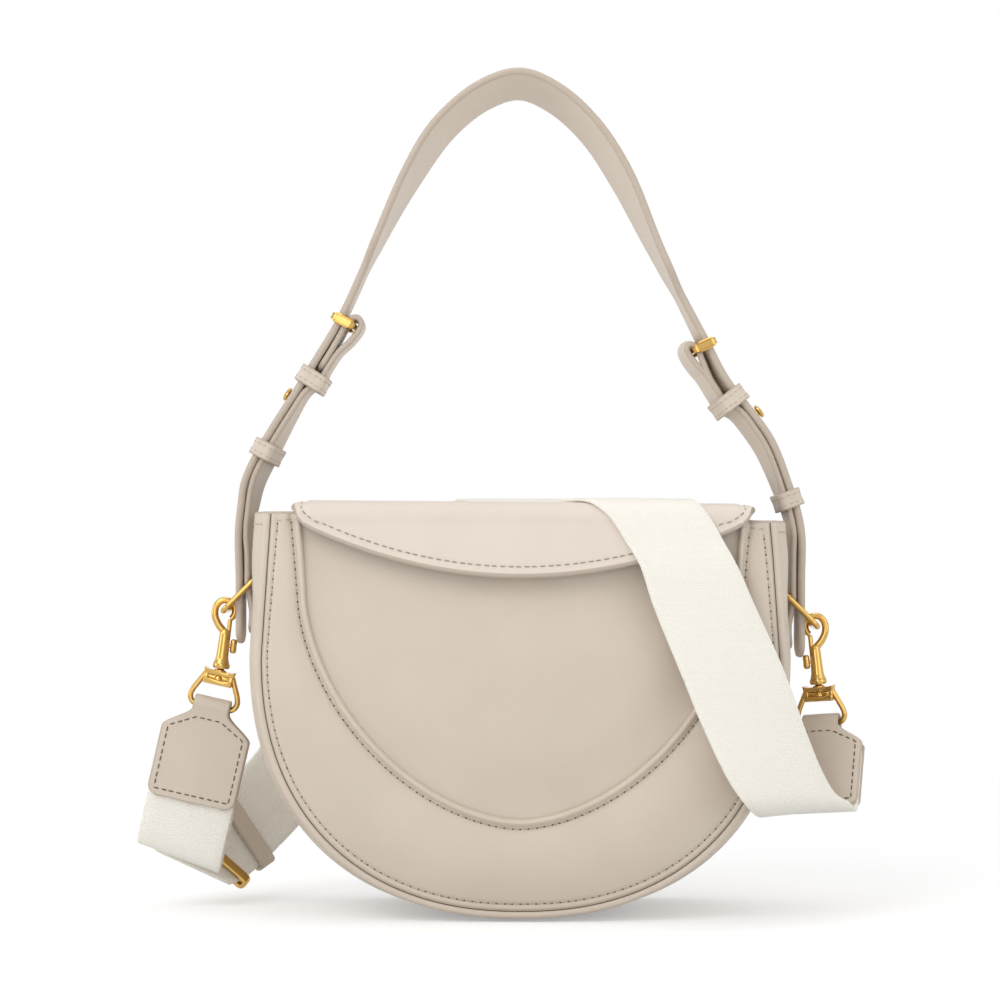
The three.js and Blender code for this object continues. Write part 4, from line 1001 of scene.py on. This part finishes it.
def handle_arc_at(side, z):
    """Length along the handle where one side passes a height."""
    top = int(np.argmax(HANDLE[:, 1]))
    if side == "left":
        return float(np.interp(z, HANDLE[:top, 1], HANDLE_ARC[:top]))
    return float(np.interp(-z, -HANDLE[top:, 1], HANDLE_ARC[top:]))


BUCKLE_AT = {side: handle_arc_at(side, BUCKLE_Z[side]) for side in SIDES}


def on_handle(side, drop, inward=0.0):
    """Point below a side's buckle by an arc length, moved in from the strap; also out and up there."""
    x, z, tx, tz = sample(BUCKLE_AT[side] + SIDES[side] * drop, HANDLE_ARC, HANDLE_TABLE)
    out = unit((-tz, 0, tx))
    return np.array([x, 0, z]) - inward * out, out, -SIDES[side] * unit((tx, 0, tz))


def low_roll(side, z):
    """How far the straps turn their inner faces to the front between the buckles and the bag."""
    return HANDLE_ROLL * bump(z, *LOW_ROLL[side])


def rolled(points, half, columns, out, roll):
    """Grid of a strap across y, turned about its middle line; also its normals and one row of them."""
    grid = np.repeat(points[:, None], columns, axis=1)
    grid[..., 1] += half[:, None] * np.linspace(-1, 1, columns)[None]
    turned = out * np.cos(roll)[:, None] + BACKWARD * np.sin(roll)[:, None]
    grid = grid - (grid[..., 1] * np.sin(roll)[:, None])[..., None] * out[:, None]
    return grid, np.repeat(turned[:, None], columns, axis=1), turned


def round_tips(s, half, tip):
    """Half widths that close in a round tip at both ends."""
    d = np.minimum(s, s[-1] - s)
    return half - tip + np.sqrt(np.clip(tip ** 2 - np.clip(tip - d, 0, tip) ** 2, 0.01, None))


def make_handle():
    """Strap with a wide middle, which rolls a little so that its underside turns to the front."""
    arc = np.linspace(0, HANDLE_ARC[-1], int(HANDLE_ARC[-1] / 2) + 1)
    x, z = sample(arc, HANDLE_ARC, HANDLE).T
    points = np.stack([x, 0 * arc, z], axis=1)
    along = tangents(points)
    out = np.stack([-along[:, 2], 0 * arc, along[:, 0]], axis=1)
    beyond = np.minimum(arc - BUCKLE_AT["left"], BUCKLE_AT["right"] - arc)
    wide = STRAP_WIDTH + (HANDLE_WIDTH - STRAP_WIDTH) * smoothstep(beyond, *HANDLE_WIDENS)
    half = round_tips(arc, wide / 2, 5) - HANDLE_THICKNESS / 4
    low = np.where(x < 0, low_roll("left", z), low_roll("right", z))
    roll = HANDLE_ROLL * smoothstep(beyond, *HANDLE_ROLLS) + low
    grid, normals, turned = rolled(points, half, 13, out, roll)
    shape = Shape()
    shape.slab(grid, HANDLE_THICKNESS, normals=normals)
    for edge in (1, -1):
        y = edge * (wide / 2 - HANDLE_SEAM)
        row = points + turned * (HANDLE_THICKNESS / 2 - 0.25) - (y * np.sin(roll))[:, None] * out
        row[:, 1] += y
        shape.stitches(row[4:-4], turned[4:-4], radius=FINE_STITCH)
    return shape


piece("top_handle", make_handle(), SEWN, ["handle_strap", "handle_tail_left", "handle_tail_right"],
      blend=HANDLE_BLEND)


def make_tab(side):
    """Tab sewn to the side strip, up inside the tail, through the keepers and round the buckle's bar."""
    sign = SIDES[side]
    bar = RING_BAR_Z[side]
    over = TAIL_X[side] - SECOND_LAYER - STRAP_CLEARANCE
    slant = (TOP_HALF_WIDTH - HALF_WIDTH) / (BODY_TOP - WIDEST)
    heights = [bar - drop for drop in TAB_SEAT_DROPS]
    seat = [(HALF_WIDTH + slant * (z - WIDEST) + 0.7 * swell_at(z) + TAB_SEAT_LIFT, z) for z in heights]
    route = [(sign * x, 0, z) for x, z in seat + [(over, bar - 2.5), (over, bar + 2.5), (over, TAB_BEND[0])]]
    keeper = UPPER_KEEPER_DROP[side]
    length = abs(BUCKLE_AT[side] - handle_arc_at(side, TAB_BEND[1]))
    layers = [(d, SECOND_LAYER) for d in np.linspace(length, keeper + 6, 7)][:-1]
    layers += [(keeper + 6, SECOND_LAYER + 0.2), (keeper - 1, THIRD_LAYER), (20, THIRD_LAYER),
               (12, THIRD_LAYER + 0.4), (6, BUCKLE_BAR + 1.7), (0, BUCKLE_BAR + 2.7),
               (-2.7, BUCKLE_BAR + 2.2), (-4.0, BUCKLE_BAR), (-2.9, BUCKLE_BAR - 2.2), (0, SECOND_LAYER),
               (6, SECOND_LAYER), (14, SECOND_LAYER + 0.2), (keeper - 5, SECOND_LAYER)]
    points = spline(route + [on_handle(side, drop, inward)[0] for drop, inward in layers], 1.2)
    along = tangents(points)
    out = sign * np.stack([along[:, 2], 0 * along[:, 0], -along[:, 0]], axis=1)
    s = arc_length(points)
    half = round_tips(s, np.full(len(s), STRAP_WIDTH / 2), 4) - TAB_THICKNESS / 4
    grid, normals, _ = rolled(points, half, 9, out, low_roll(side, points[:, 2]))
    shape = Shape()
    shape.slab(grid, TAB_THICKNESS, normals=normals)
    return shape


def loop_on_handle(side, drop, loop):
    """Points of a closed loop given as (y, outward) round the strap, and the way up along it."""
    point, out, up = on_handle(side, drop)
    roll = float(low_roll(side, point[2]))
    across = BACKWARD * math.cos(roll) - out * math.sin(roll)
    outward = out * math.cos(roll) + BACKWARD * math.sin(roll)
    return point + loop[:, :1] * across + loop[:, 1:] * outward, up


def leather_band(path, along, reach, wall, flare=0.0):
    """A band round a closed path, slightly flared; also its outward normals."""
    normals = np.cross(tangents(path, True), along)
    normals *= np.sign(np.sum(normals * (path - path.mean(axis=0)), axis=1, keepdims=True))
    across = np.linspace(-1, 1, 7)[None, :, None]
    grid = path[:, None] + across * reach * along + flare * across ** 2 * normals[:, None]
    shape = Shape()
    shape.slab(grid, wall, closed=True, normals=np.repeat(normals[:, None], 7, axis=1))
    return shape, normals


def make_keeper(side, drop, inward):
    """Leather loop with a sewn row along each edge."""
    half = (STRAP_WIDTH + KEEPER_WALL) / 2 + STRAP_CLEARANCE
    low = -inward - (TAB_THICKNESS + KEEPER_WALL) / 2 - KEEPER_CLEARANCE
    high = (HANDLE_THICKNESS + KEEPER_WALL) / 2 + KEEPER_CLEARANCE
    path, up = loop_on_handle(side, drop, rounded_loop(-half, low, half, high, KEEPER_CORNER))
    reach = KEEPER_LENGTH / 2 - 0.4
    shape, normals = leather_band(path, up, reach, KEEPER_WALL, KEEPER_FLARE)
    for edge in (-1, 1):
        row = path + edge * (reach - KEEPER_SEAM) * up + normals * KEEPER_WALL / 2
        shape.stitches(row, normals, pitch=KEEPER_PITCH, radius=FINE_STITCH, closed=True)
    return shape


def make_buckle(side):
    """Rectangular gold frame with a bare sunk panel on its outer faces."""
    half = (STRAP_WIDTH + BUCKLE_WALL) / 2 + STRAP_CLEARANCE
    a = BUCKLE_WALL / 2
    b = BUCKLE_HEIGHT / 2
    loop = rounded_loop(-half, BUCKLE_RANGE[0] - a, half, BUCKLE_RANGE[1] + a, BUCKLE_CORNER, 0.5)
    path, up = loop_on_handle(side, 0, loop)
    outer = [(a, b - 0.5), (a, b - 0.8), (a - 0.4, b - 1.0)]
    section = [(-a, -b + 0.5), (-a + 0.5, -b), (a - 0.5, -b), *((x, -y) for x, y in outer), *outer[::-1],
               (a - 0.5, b), (-a + 0.5, b), (-a, b - 0.5)]
    section = np.array(section)
    across = np.cross(tangents(path, True), up)
    if np.sum(across[0] * (path[0] - path.mean(axis=0))) < 0:
        section = section * (-1, 1)
    # The long faces end round, so the frame is lower towards its outer and inner bars
    reach = np.abs(loop[:, 1] - loop[:, 1].mean())
    low = np.maximum(1 - (reach / reach.max()) ** 5, 0.3) ** 0.5
    wide = section[None, :, :1] * across[:, None]
    grid = path[:, None] + wide + section[None, :, 1:] * low[:, None, None] * up
    shape = Shape()
    shape.add_grid(grid, 0, True, True)
    return shape


def make_stud(side):
    """Button stud on the tail, with a round head on a neck."""
    point, out, _ = on_handle(side, STUD_DROP[side], -HANDLE_THICKNESS / 2 - 0.1)
    head = [(1.5, 0.8), (2.6, 1.0), (3.1, 1.4), (3.1, 2.0), (2.6, 2.5), (1.6, 2.8), (0.2, 2.9)]
    shape = Shape()
    shape.lathe([(1.6, 0), (1.5, 0.4)] + [(radius, z + STUD_NECK[side]) for radius, z in head], point, out)
    return shape


for side in SIDES:
    high = make_keeper(side, UPPER_KEEPER_DROP[side], THIRD_LAYER)
    low = make_keeper(side, LOWER_KEEPER_DROP[side], SECOND_LAYER)
    tab_nodes = [f"side_tab_upper_{side}", f"side_tab_lower_{side}"]
    piece(f"handle_tab_{side}", make_tab(side), SEWN, tab_nodes, blend=HANDLE_BLEND)
    piece(f"keeper_high_{side}", high, SEWN, [f"upper_keeper_{side}"], "handle")
    piece(f"keeper_low_{side}", low, SEWN, [f"lower_keeper_{side}"], f"lower_keeper_{side}")
    piece(f"buckle_frame_{side}", make_buckle(side), [GOLD], [f"buckle_{side}"], "handle", sharp=35)
    piece(f"button_stud_{side}", make_stud(side), [GOLD], [f"stud_{side}"], "handle", sharp=40)


# Chapes
def joint_point(name):
    return np.array(JOINTS[name]["pos_m"]) / MM


def in_chape(side, x, y, z):
    """Point of a chape's frame: along its bar, out to the front or back, and up, from the bar's middle."""
    along = unit(JOINTS[f"chape_swing_{side}"]["axis"])
    up = np.array(CHAPE_UP[side])
    x, y, z = [values[..., None] for values in np.broadcast_arrays(np.asarray(x, float), y, z)]
    return joint_point(f"chape_swing_{side}") + x * along + y * np.cross(up, along) + z * up


def chape_half(z):
    """Half width of a chape: narrow neck, sloping shoulders, straight sides, rounded foot."""
    t = np.clip((-z - 2.5) / 9.5, 0, 1)
    foot = CHAPE_CORNER - np.clip(z - CHAPE_FOOT, 0, CHAPE_CORNER)
    corner = CHAPE_CORNER - np.sqrt(CHAPE_CORNER ** 2 - foot ** 2)
    return CHAPE_NECK + CHAPE_SHOULDER * (0.45 * t + 0.55 * smoothstep(t, 0, 1)) - corner


def make_chape(side):
    """Leather folded round the eye's bar, sewn round on both faces."""
    wrap = math.radians(115)
    fold = [(CHAPE_WRAP * math.sin(a), CHAPE_WRAP * math.cos(a)) for a in np.linspace(-wrap, wrap, 25)]
    leaf = [(-CHAPE_SIDE, z) for z in np.linspace(CHAPE_FOOT, -7, 24)]
    path = spread(spline(leaf + fold + [(-y, z) for y, z in leaf[::-1]], 0.8), 0.8)
    x = (chape_half(path[:, 1]) - 0.5)[:, None] * np.linspace(-1, 1, 21)[None]
    shape = Shape()
    shape.slab(in_chape(side, x, path[:, :1], path[:, 1:]), CHAPE_WALL, steps=6)
    zs = np.linspace(*CHAPE_SEAM_RANGE, 30)
    right = np.vstack([np.stack([chape_half(zs) - CHAPE_SEAM, zs], axis=1), [CHAPE_SEAM_TOP]])
    outline = spread(np.vstack([right, right[::-1] * (-1, 1)]), 1.0, True)
    outline = np.vstack([outline, outline[:1]])
    for face in (-1, 1):
        row = in_chape(side, outline[:, 0], face * CHAPE_FACE, outline[:, 1])
        normal = in_chape(side, 0, face, 0) - in_chape(side, 0, 0, 0)
        # Painted shade: the chape's stitches use the dark thread for thread that lies in shade
        shape.stitches(row, normal, slot=PAINTED_SHADE_SLOT)
    return shape


for side in SIDES:
    piece(f"chape_leather_{side}", make_chape(side), SEWN, [f"chape_{side}"], f"chape_{side}")


# Webbing: one run from inside the right chape over the flap and round the back to the left loop
def on_flap(arc, left, right):
    """Both edges of the webbing where it lies on the flap."""
    return [*flap_point(np.array(left), arc, WEB_OVER_FLAP), *flap_point(np.array(right), arc, WEB_OVER_FLAP)]


FRONT_TOP = float(flap_arc_at_height(167))
BEND_LENGTH = FLAP_BEND - FRONT_TOP
IN_CHAPE_ROWS = [[*in_chape("right", -WEB_HALF_IN_CHAPE, y, z), *in_chape("right", WEB_HALF_IN_CHAPE, y, z)]
                 for z, y in [(-16, 0), (-30, 0), (-38, 0), (-42, 0), (-43.6, -0.3), (-45, -2.8)]]
# A row of the route is a point on one edge and a point on the other
FRONT_ROWS = [
    [97, -46, 45, 136.6, -38.5, 49.6], [91.4, -57, 50.4, 130.4, -41, 53.8],
    [84.5, -59, 60.3, 125.2, -43, 62.4], [75, -57, 80, 117.8, -46, 80],
    [64.8, -55, 105, 108.3, -50, 105], [54, -53, 132, 96, -52, 132],
]
FLAP_ROWS = [on_flap(flap_arc_at_height(z), left, right) for z, left, right in
             ((147.5, 47.6, 86.8), (157, 42.2, 81.8))]
FLAP_ROWS += [on_flap(FRONT_TOP + share * BEND_LENGTH, left, right) for share, left, right in
              ((0, 36.5, 77), (0.25, 32.5, 74.2), (0.5, 28.3, 71.8), (0.75, 24, 69))]
FLAP_ROWS += [on_flap(flap_arc_at_depth(y), left, right) for y, left, right in
              ((-25.0, 13, 60), (0.0, -4, 44), (20.0, -17, 32), (33.0, -26, 24))]
HINGE_ROWS = [on_flap(arc, left, right) for arc, left, right in
              ((26, -29, 21), (21, -31, 19.5), (16, -33, 18.5), (5, -40, 12))]
BEHIND_ROWS = [
    [-70, 49, 128, -31, 48.6, 115], [-103, 53, 85, -68, 52, 66], [-121, 51, 61, -100, 50, 30],
    [-134, 37, 46, -114, 37, 16], [-147, 20, 33, -122, 22, 10], [-159, 14, 24, -126, 14, 9],
]
WEB_ACROSS = np.linspace(0.02, 0.98, 11)


def webbing_run(rows, step):
    """Both edges along a route, the length along its middle, and a grid over its width."""
    run = spline(rows, step)
    left, right = run[:, None, :3], run[:, None, 3:]
    return run, arc_length((left + right)[:, 0] / 2), left + (right - left) * WEB_ACROSS[None, :, None]


def webbing_flat(s):
    """Flat sizes of a grid of webbing."""
    return np.stack(np.broadcast_arrays(WEB_ACROSS[None] * WEB_WIDTH, s[:, None]), axis=-1)


WEB_ROWS = IN_CHAPE_ROWS + FRONT_ROWS + FLAP_ROWS + HINGE_ROWS + BEHIND_ROWS
WEB, WEB_ARC, WEB_GRID = webbing_run(WEB_ROWS, WEB_STEP)
WEB_NORMALS = grid_normals(WEB_GRID)
WEB_MIDDLE = WEB_GRID[:, 5]


def web_at(row):
    """Station of the webbing nearest to a row of its route."""
    return int(np.argmin(np.linalg.norm(WEB - np.asarray(row), axis=1)))


def web_before(station, span):
    """Station that lies a length before another."""
    return int(np.argmin(np.abs(WEB_ARC - (WEB_ARC[station] - span))))


def web_stretch(name, first, last, nodes, body=None, blend=None):
    """One stretch of the webbing between two of its stations."""
    rows = slice(first, last + 1)
    grid = WEB_GRID[rows]
    shape = Shape()
    flat = webbing_flat(WEB_ARC[rows])
    faces = shape.slab(grid, WEB_THICKNESS, 0, normals=WEB_NORMALS[rows], flat=flat, steps=4)
    # Crisp end rows, so that the shading runs on over the joins
    shape.hard = [int(i) for face in faces for end in (0, -1) for i in face[end]]
    made = piece(name, shape, [WEBBING], nodes, body, blend)


def blend_line(first, last):
    """Start and end of a blend that leaves both end rows of a stretch whole."""
    near, far = WEB_GRID[first], WEB_GRID[last]
    run = unit(far.mean(axis=0) - near.mean(axis=0))
    row = unit(near[-1] - near[0] + far[-1] - far[0])
    side = np.cross(run, row)
    ways = [unit(run + a * row + b * side)
            for a in np.linspace(-3, 3, 61) for b in np.linspace(-1.5, 1.5, 31)]
    gaps = [np.min(far @ way) - np.max(near @ way) for way in ways]
    way, gap = ways[int(np.argmax(gaps))], max(gaps)
    middle = near.mean(axis=0)
    start = middle + (np.max(near @ way) - middle @ way) * way
    return tuple(start), tuple(start + max(gap, 1) * way)


def web_chain(name, number, stations, bodies):
    """Stretches from body to body, one across each joint, each left in place without a parent."""
    for k, (near, far) in enumerate(zip(bodies, bodies[1:])):
        first, last = stations[k:k + 2]
        web_stretch(f"{name}_{number + k}", first, last, [], blend=(near, far, *blend_line(first, last)))


FOLD = web_at(FRONT_ROWS[0])
FLAP_LOW = web_at(FLAP_ROWS[0])
HINGE_FRONT = web_at(FLAP_ROWS[-1])
HINGE_BACK = web_at(HINGE_ROWS[-1])
KEEPER_AT = web_at(BEHIND_ROWS[3])
SLIDER_AT = web_at(BEHIND_ROWS[4])
rise_cuts = [FOLD + int(np.argmin(np.abs(WEB_MIDDLE[FOLD:FLAP_LOW, 2] - z))) for z in RISE_CUTS]
back_cuts = [web_before(KEEPER_AT, KEEPER_LEAD)]
for span in BACK_SPANS:
    back_cuts.insert(0, web_before(back_cuts[0], span))
web_stretch("webbing_in_chape", 0, FOLD, ["webbing_front"], "chape_right")
web_chain("webbing_rise", 1, [FOLD, *rise_cuts, FLAP_LOW],
          ["chape_right", "eye_right", "hook_right", "ring_right", "bag", "flap"])
web_stretch("webbing_on_flap", FLAP_LOW, HINGE_FRONT, ["webbing_over_flap"], "flap")
web_stretch("webbing_at_hinge", HINGE_FRONT, HINGE_BACK, ["webbing_back"],
            blend=("bag", "flap", (0, 42.5, 168), (0, 36, 177)))
web_stretch("webbing_behind", HINGE_BACK, back_cuts[0], [], "bag")
web_chain("webbing_behind", 2, back_cuts, ["bag", "ring_left", "hook_left", "eye_left", "chape_left"])
web_stretch("webbing_end", back_cuts[-1], len(WEB) - 1, [], "chape_left")


def make_short_webbing():
    """Short length from inside the left chape, folded back at the slider; also its length."""
    rows = [(-16, 0, 0), (-30, 0, 0), (-46, 0, 0), (-61, 0.5, 1), (-66, 2.6, 1), (-67, 4.6, 1), (-66, 6.6, 1),
            (-61, 8.5, 1), (-41, 9, 1)]
    edges = []
    for z, y, skew in rows:
        tilt = SHORT_SKEW * skew
        edges.append([*in_chape("left", -SHORT_HALF, y, z + tilt),
                      *in_chape("left", SHORT_HALF, y, z - tilt)])
    _, s, grid = webbing_run(edges, SHORT_STEP)
    shape = Shape()
    shape.slab(grid, WEB_THICKNESS, 0, flat=webbing_flat(s), steps=4)
    return shape, float(s[-1])


short_shape, short_length = make_short_webbing()
short = piece("webbing_loop", short_shape, [WEBBING], ["webbing_short_left"], "chape_left")


# Hardware of the shoulder strap
def web_loop(station, wall):
    """Closed loop round the webbing at a station, and the way along the strap."""
    edge = WEB[station, 3:] - WEB[station, :3]
    across = unit(edge)
    normal = WEB_NORMALS[station, 5]
    normal = unit(normal - np.dot(normal, across) * across)
    half = np.linalg.norm(edge) / 2 + LOOP_SIDE + wall / 2
    deep = LOOP_DEPTH + wall / 2
    loop = rounded_loop(-half, -deep, half, deep, LOOP_CORNER)
    return WEB_MIDDLE[station] + loop[:, :1] * across + loop[:, 1:] * normal, np.cross(across, normal)


def make_slider():
    path, along = web_loop(SLIDER_AT, SLIDER_WALL)
    shape = Shape()
    section = rounded_corners(-SLIDER_WALL / 2, -SLIDER_REACH, SLIDER_WALL / 2, SLIDER_REACH, 0.9, 4)
    shape.sweep(path, section, along, closed=True)
    return shape


def hook_frame(side):
    """Origin on the ring's outer bar, the way towards the bag, and up along the swivel."""
    up = unit(JOINTS[f"swivel_{side}"]["axis"])
    return joint_point(f"hook_swing_{side}"), -SIDES[side] * np.cross(BACKWARD, up), up


def make_ring(side):
    origin = joint_point(f"ring_swing_{side}")
    down = unit(joint_point(f"hook_swing_{side}") - origin)
    loop = rounded_loop(-RING_HALF, 0, RING_HALF, RING_LENGTH, RING_CORNER, 0.7)
    shape = Shape()
    path = origin + loop[:, :1] * BACKWARD + loop[:, 1:] * down
    shape.sweep(path, disc(RING_WIRE), np.cross(BACKWARD, down), closed=True)
    return shape


def make_hook(side):
    """Teardrop hook that tapers to its tip, on a slotted barrel with a ring at its lower end."""
    origin, inward, up = hook_frame(side)
    points = [(1.2, -11.5), (0.5, -9.2), (-2.1, -6.4), (-4.1, -2.6), (-4.1, 1.3), (-2.4, 3.8), (0, 4.5),
              (2.5, 3.7), (3.9, 1.6), (4.1, -0.8), (3.4, -2.6), (2.7, -3.1)]
    path = spline([origin + a * inward + b * up for a, b in points], 0.5)
    shape = Shape()
    taper = HOOK_WIRE - HOOK_TAPER * np.linspace(0, 1, len(path))
    shape.sweep(path, disc(1) * (1.0, 0.9), BACKWARD, scale=taper)
    centre = origin + BARREL_IN * inward
    turn = np.linspace(BARREL_SLOT, 2 * math.pi - BARREL_SLOT, 40)
    ring = np.cos(turn)[:, None] * inward + np.sin(turn)[:, None] * BACKWARD
    barrel = ((-8.2, 1.9), (-8.8, 2.3), (-11, 2.4), (-17, 2.6), (-20.4, 2.8), (-22.0, 3.2), (-22.8, 3.6))
    rows = [centre + z * up + np.vstack([wide * ring, (BARREL_BORE * ring)[::-1]]) for z, wide in barrel]
    ids = shape.add_grid(np.stack(rows), 0, False, True)
    for row in (ids[0], ids[-1]):
        shape.add_quads(np.stack([row[:len(turn)], row[len(turn):][::-1]]))
    foot = [(2.2, -22.6), (3.6, -22.9), (3.7, -23.4), (3.7, -24.3), (3.3, -24.9), (0.3, -25)]
    shape.lathe(foot, centre, up)
    return shape


def make_eye(side):
    """Swivel: a yoke with round ends, and a wire frame whose lower bar carries the chape."""
    top = joint_point(f"swivel_{side}")
    bar = joint_point(f"chape_swing_{side}")
    up = unit(top - bar)
    wide = unit(JOINTS[f"chape_swing_{side}"]["axis"])
    axes = (wide, up, np.cross(up, wide))
    drop = float(np.linalg.norm(top - bar))
    leg = [(-5.8, -3.0), (-6.9, -5.2), (-8.4, -8.2), (-9.8, -11.2), (-10.3, -13.6), (-9.7, 1.2 - drop),
           (-8.4, -drop)]
    outline = leg + [(0, -drop)] + [(-a, b) for a, b in leg[::-1]]
    shape = Shape()
    shape.sweep(spline([top + a * wide + b * up for a, b in outline], 0.5), disc(EYE_WIRE), axes[2])
    # The yoke: two cross bars, two cheeks and the plate in the slot between them
    plates = [([(-6.9, -0.5), (-5.4, -1.1), (5.4, -1.1), (6.9, -0.5), (6.5, -3.1), (-6.5, -3.1)], 4.6, 0.5),
              ([(-6.4, -5.0), (6.4, -5.0), (6.1, -7.3), (-6.1, -7.3)], 4.6, 0.5)]
    plates += [([(x - 0.9, -2.6), (x + 0.9, -2.6), (x + 0.9, -5.5), (x - 0.9, -5.5)], 4.2, 0.3)
               for x in (-5.4, 5.4)]
    plates += [([(-4.8, -2.8), (4.8, -2.8), (4.8, -5.3), (-4.8, -5.3)], 2.0, 0.2)]
    for plate, depth, soft in plates:
        shape.prism(plate, depth, top, axes, soft)
    # The post's head in the slot, and its collar under the hook
    shape.lathe([(0.4, -5.2), (1.9, -5.1), (1.9, -3.9), (1.4, -3.4), (1.4, -2.8)], top, up)
    shape.lathe([(1.3, -1.8), (2.5, -1.4), (2.5, -0.7), (1.6, -0.4), (1.2, 0.3)], top, up)
    return shape


def make_bolt(side):
    """Sliding pin with a thumb knob that hugs the barrel."""
    origin, inward, up = hook_frame(side)
    pin = origin + PIN_IN * inward
    shape = Shape()
    shape.lathe([(0.9, -15.6), (1.0, -15.4), (1.0, -4.2), (0.8, -3.6), (0.2, -3.4)], pin, up, segments=16)
    stem = pin + KNOB_Z * up
    shape.sweep([stem, stem + 3.0 * inward], disc(0.8, 12), up)
    heights = (-18.0, -17.8, -17.2, -16.3, -14.9, -13.5, -12.6, -12.0, -11.8)
    size = np.array([0.3, 0.7, 0.95, 1.0, 0.92, 1.0, 0.95, 0.7, 0.3])
    knob = [origin + KNOB_IN * inward + height * up for height in heights]
    shape.sweep(knob, disc(1, 16) * (1.7, 1.45), inward, scale=size)
    return shape


web_keeper, _ = leather_band(*web_loop(KEEPER_AT, WEB_KEEPER_WALL), WEB_KEEPER_REACH, WEB_KEEPER_WALL)
piece("strap_keeper", web_keeper, SEWN, ["webbing_keeper"], "chape_left")
piece("slider_frame", make_slider(), [GOLD], ["strap_slider"], "chape_left", sharp=50)
# Name of the piece, its maker, the CAD node, the body, and the angle that stays sharp
CASTINGS = [
    ("ring_wire", make_ring, "strap_ring", "ring", None), ("hook_cast", make_hook, "hook_body", "hook", 50),
    ("eye_cast", make_eye, "swivel_eye", "eye", 60), ("bolt_pin", make_bolt, "hook_bolt", "bolt", 50),
]
for side in SIDES:
    for name, make, cad, body, sharp in CASTINGS:
        piece(f"{name}_{side}", make(side), [GOLD], [f"{cad}_{side}"], f"{body}_{side}", sharp=sharp)
    use_material(f"bolt_spring_{side}", STEEL)
use_material("front_snap", GOLD)
use_material("flap_snap", GOLD)


# Floor, light and world
WHITE = (1, 1, 1, 1)
FLOOR_GREY = (0.78, 0.78, 0.78, 1)
FLOOR_LIFT = 0.32
FLOOR_FADE = (0.12, 0.75)
WORLD_STRENGTH = 0.58


def looked_at(tree):
    """1 for what the camera sees, straight or in a reflection."""
    path = node(tree, "ShaderNodeLightPath").outputs
    return calculate(tree, "MAXIMUM", path["Is Camera Ray"], path["Is Glossy Ray"])


floor_mesh = bpy.data.meshes.new("floor")
floor_mesh.from_pydata([(-6, -4, 0), (6, -4, 0), (6, 8, 0), (-6, 8, 0)], [], [(0, 1, 2, 3)])
floor = add_object("floor", floor_mesh)
floor.location = (0, 0, -0.0002)
material, tree, shader = new_material("white_floor")
floor_mesh.materials.append(material)
feed(shader, {"Base Color": FLOOR_GREY, "Roughness": 0.9, "Specular IOR Level": 0.0})
lift = calculate(tree, "MULTIPLY", looked_at(tree), FLOOR_LIFT)
glow = node(tree, "ShaderNodeEmission", {"Strength": lift})
lit = node(tree, "ShaderNodeAddShader", {0: shader.outputs[0], 1: glow.outputs[0]})
# The floor fades to plain white away from the bag
place = node(tree, "ShaderNodeNewGeometry").outputs["Position"]
reach = node(tree, "ShaderNodeVectorMath", {0: place}, operation="LENGTH").outputs["Value"]
fading = {"From Min": FLOOR_FADE[0], "From Max": FLOOR_FADE[1], "Value": reach}
fade = node(tree, "ShaderNodeMapRange", fading, interpolation_type="SMOOTHSTEP")
plain = node(tree, "ShaderNodeEmission", {"Color": WHITE})
ground = node(tree, "ShaderNodeMixShader", {0: fade.outputs[0], 1: lit.outputs[0], 2: plain.outputs[0]})
feed(tree.nodes["Material Output"], {"Surface": ground.outputs[0]})

world = bpy.data.worlds.new("studio")
world.use_nodes = True
bpy.context.scene.world = world
tree = world.node_tree
brightness = {"To Min": WORLD_STRENGTH, "To Max": 1.0, "Value": looked_at(tree)}
strength = node(tree, "ShaderNodeMapRange", brightness)
feed(tree.nodes["Background"], {"Color": WHITE, "Strength": strength.outputs[0]})


def area_light(name, place, target, size, power):
    data = bpy.data.lights.new(name, "AREA")
    data.shape = "RECTANGLE"
    data.size, data.size_y = size
    data.energy = power
    made = add_object(name, data)
    made.location = place
    made.rotation_euler = (Vector(target) - Vector(place)).to_track_quat("-Z", "Y").to_euler()


area_light("key", (-0.75, -0.95, 1.1), (0, 0, 0.15), (0.9, 0.9), 6.6)
area_light("fill", (1.1, -0.9, 0.55), (0, 0, 0.15), (0.9, 1.2), 3.6)
area_light("front", (-0.3, -1.5, 0.25), (-0.05, 0, 0.1), (0.7, 0.7), 2.2)
area_light("top", (0.1, 0.1, 1.3), (0, 0, 0.1), (1.0, 1.0), 3.6)
area_light("side", (-1.3, -0.25, 0.35), (-0.12, 0.02, 0.05), (0.6, 0.6), 2)

bpy.context.scene.view_settings.view_transform = "Standard"

low, high = CAD_BOUNDS
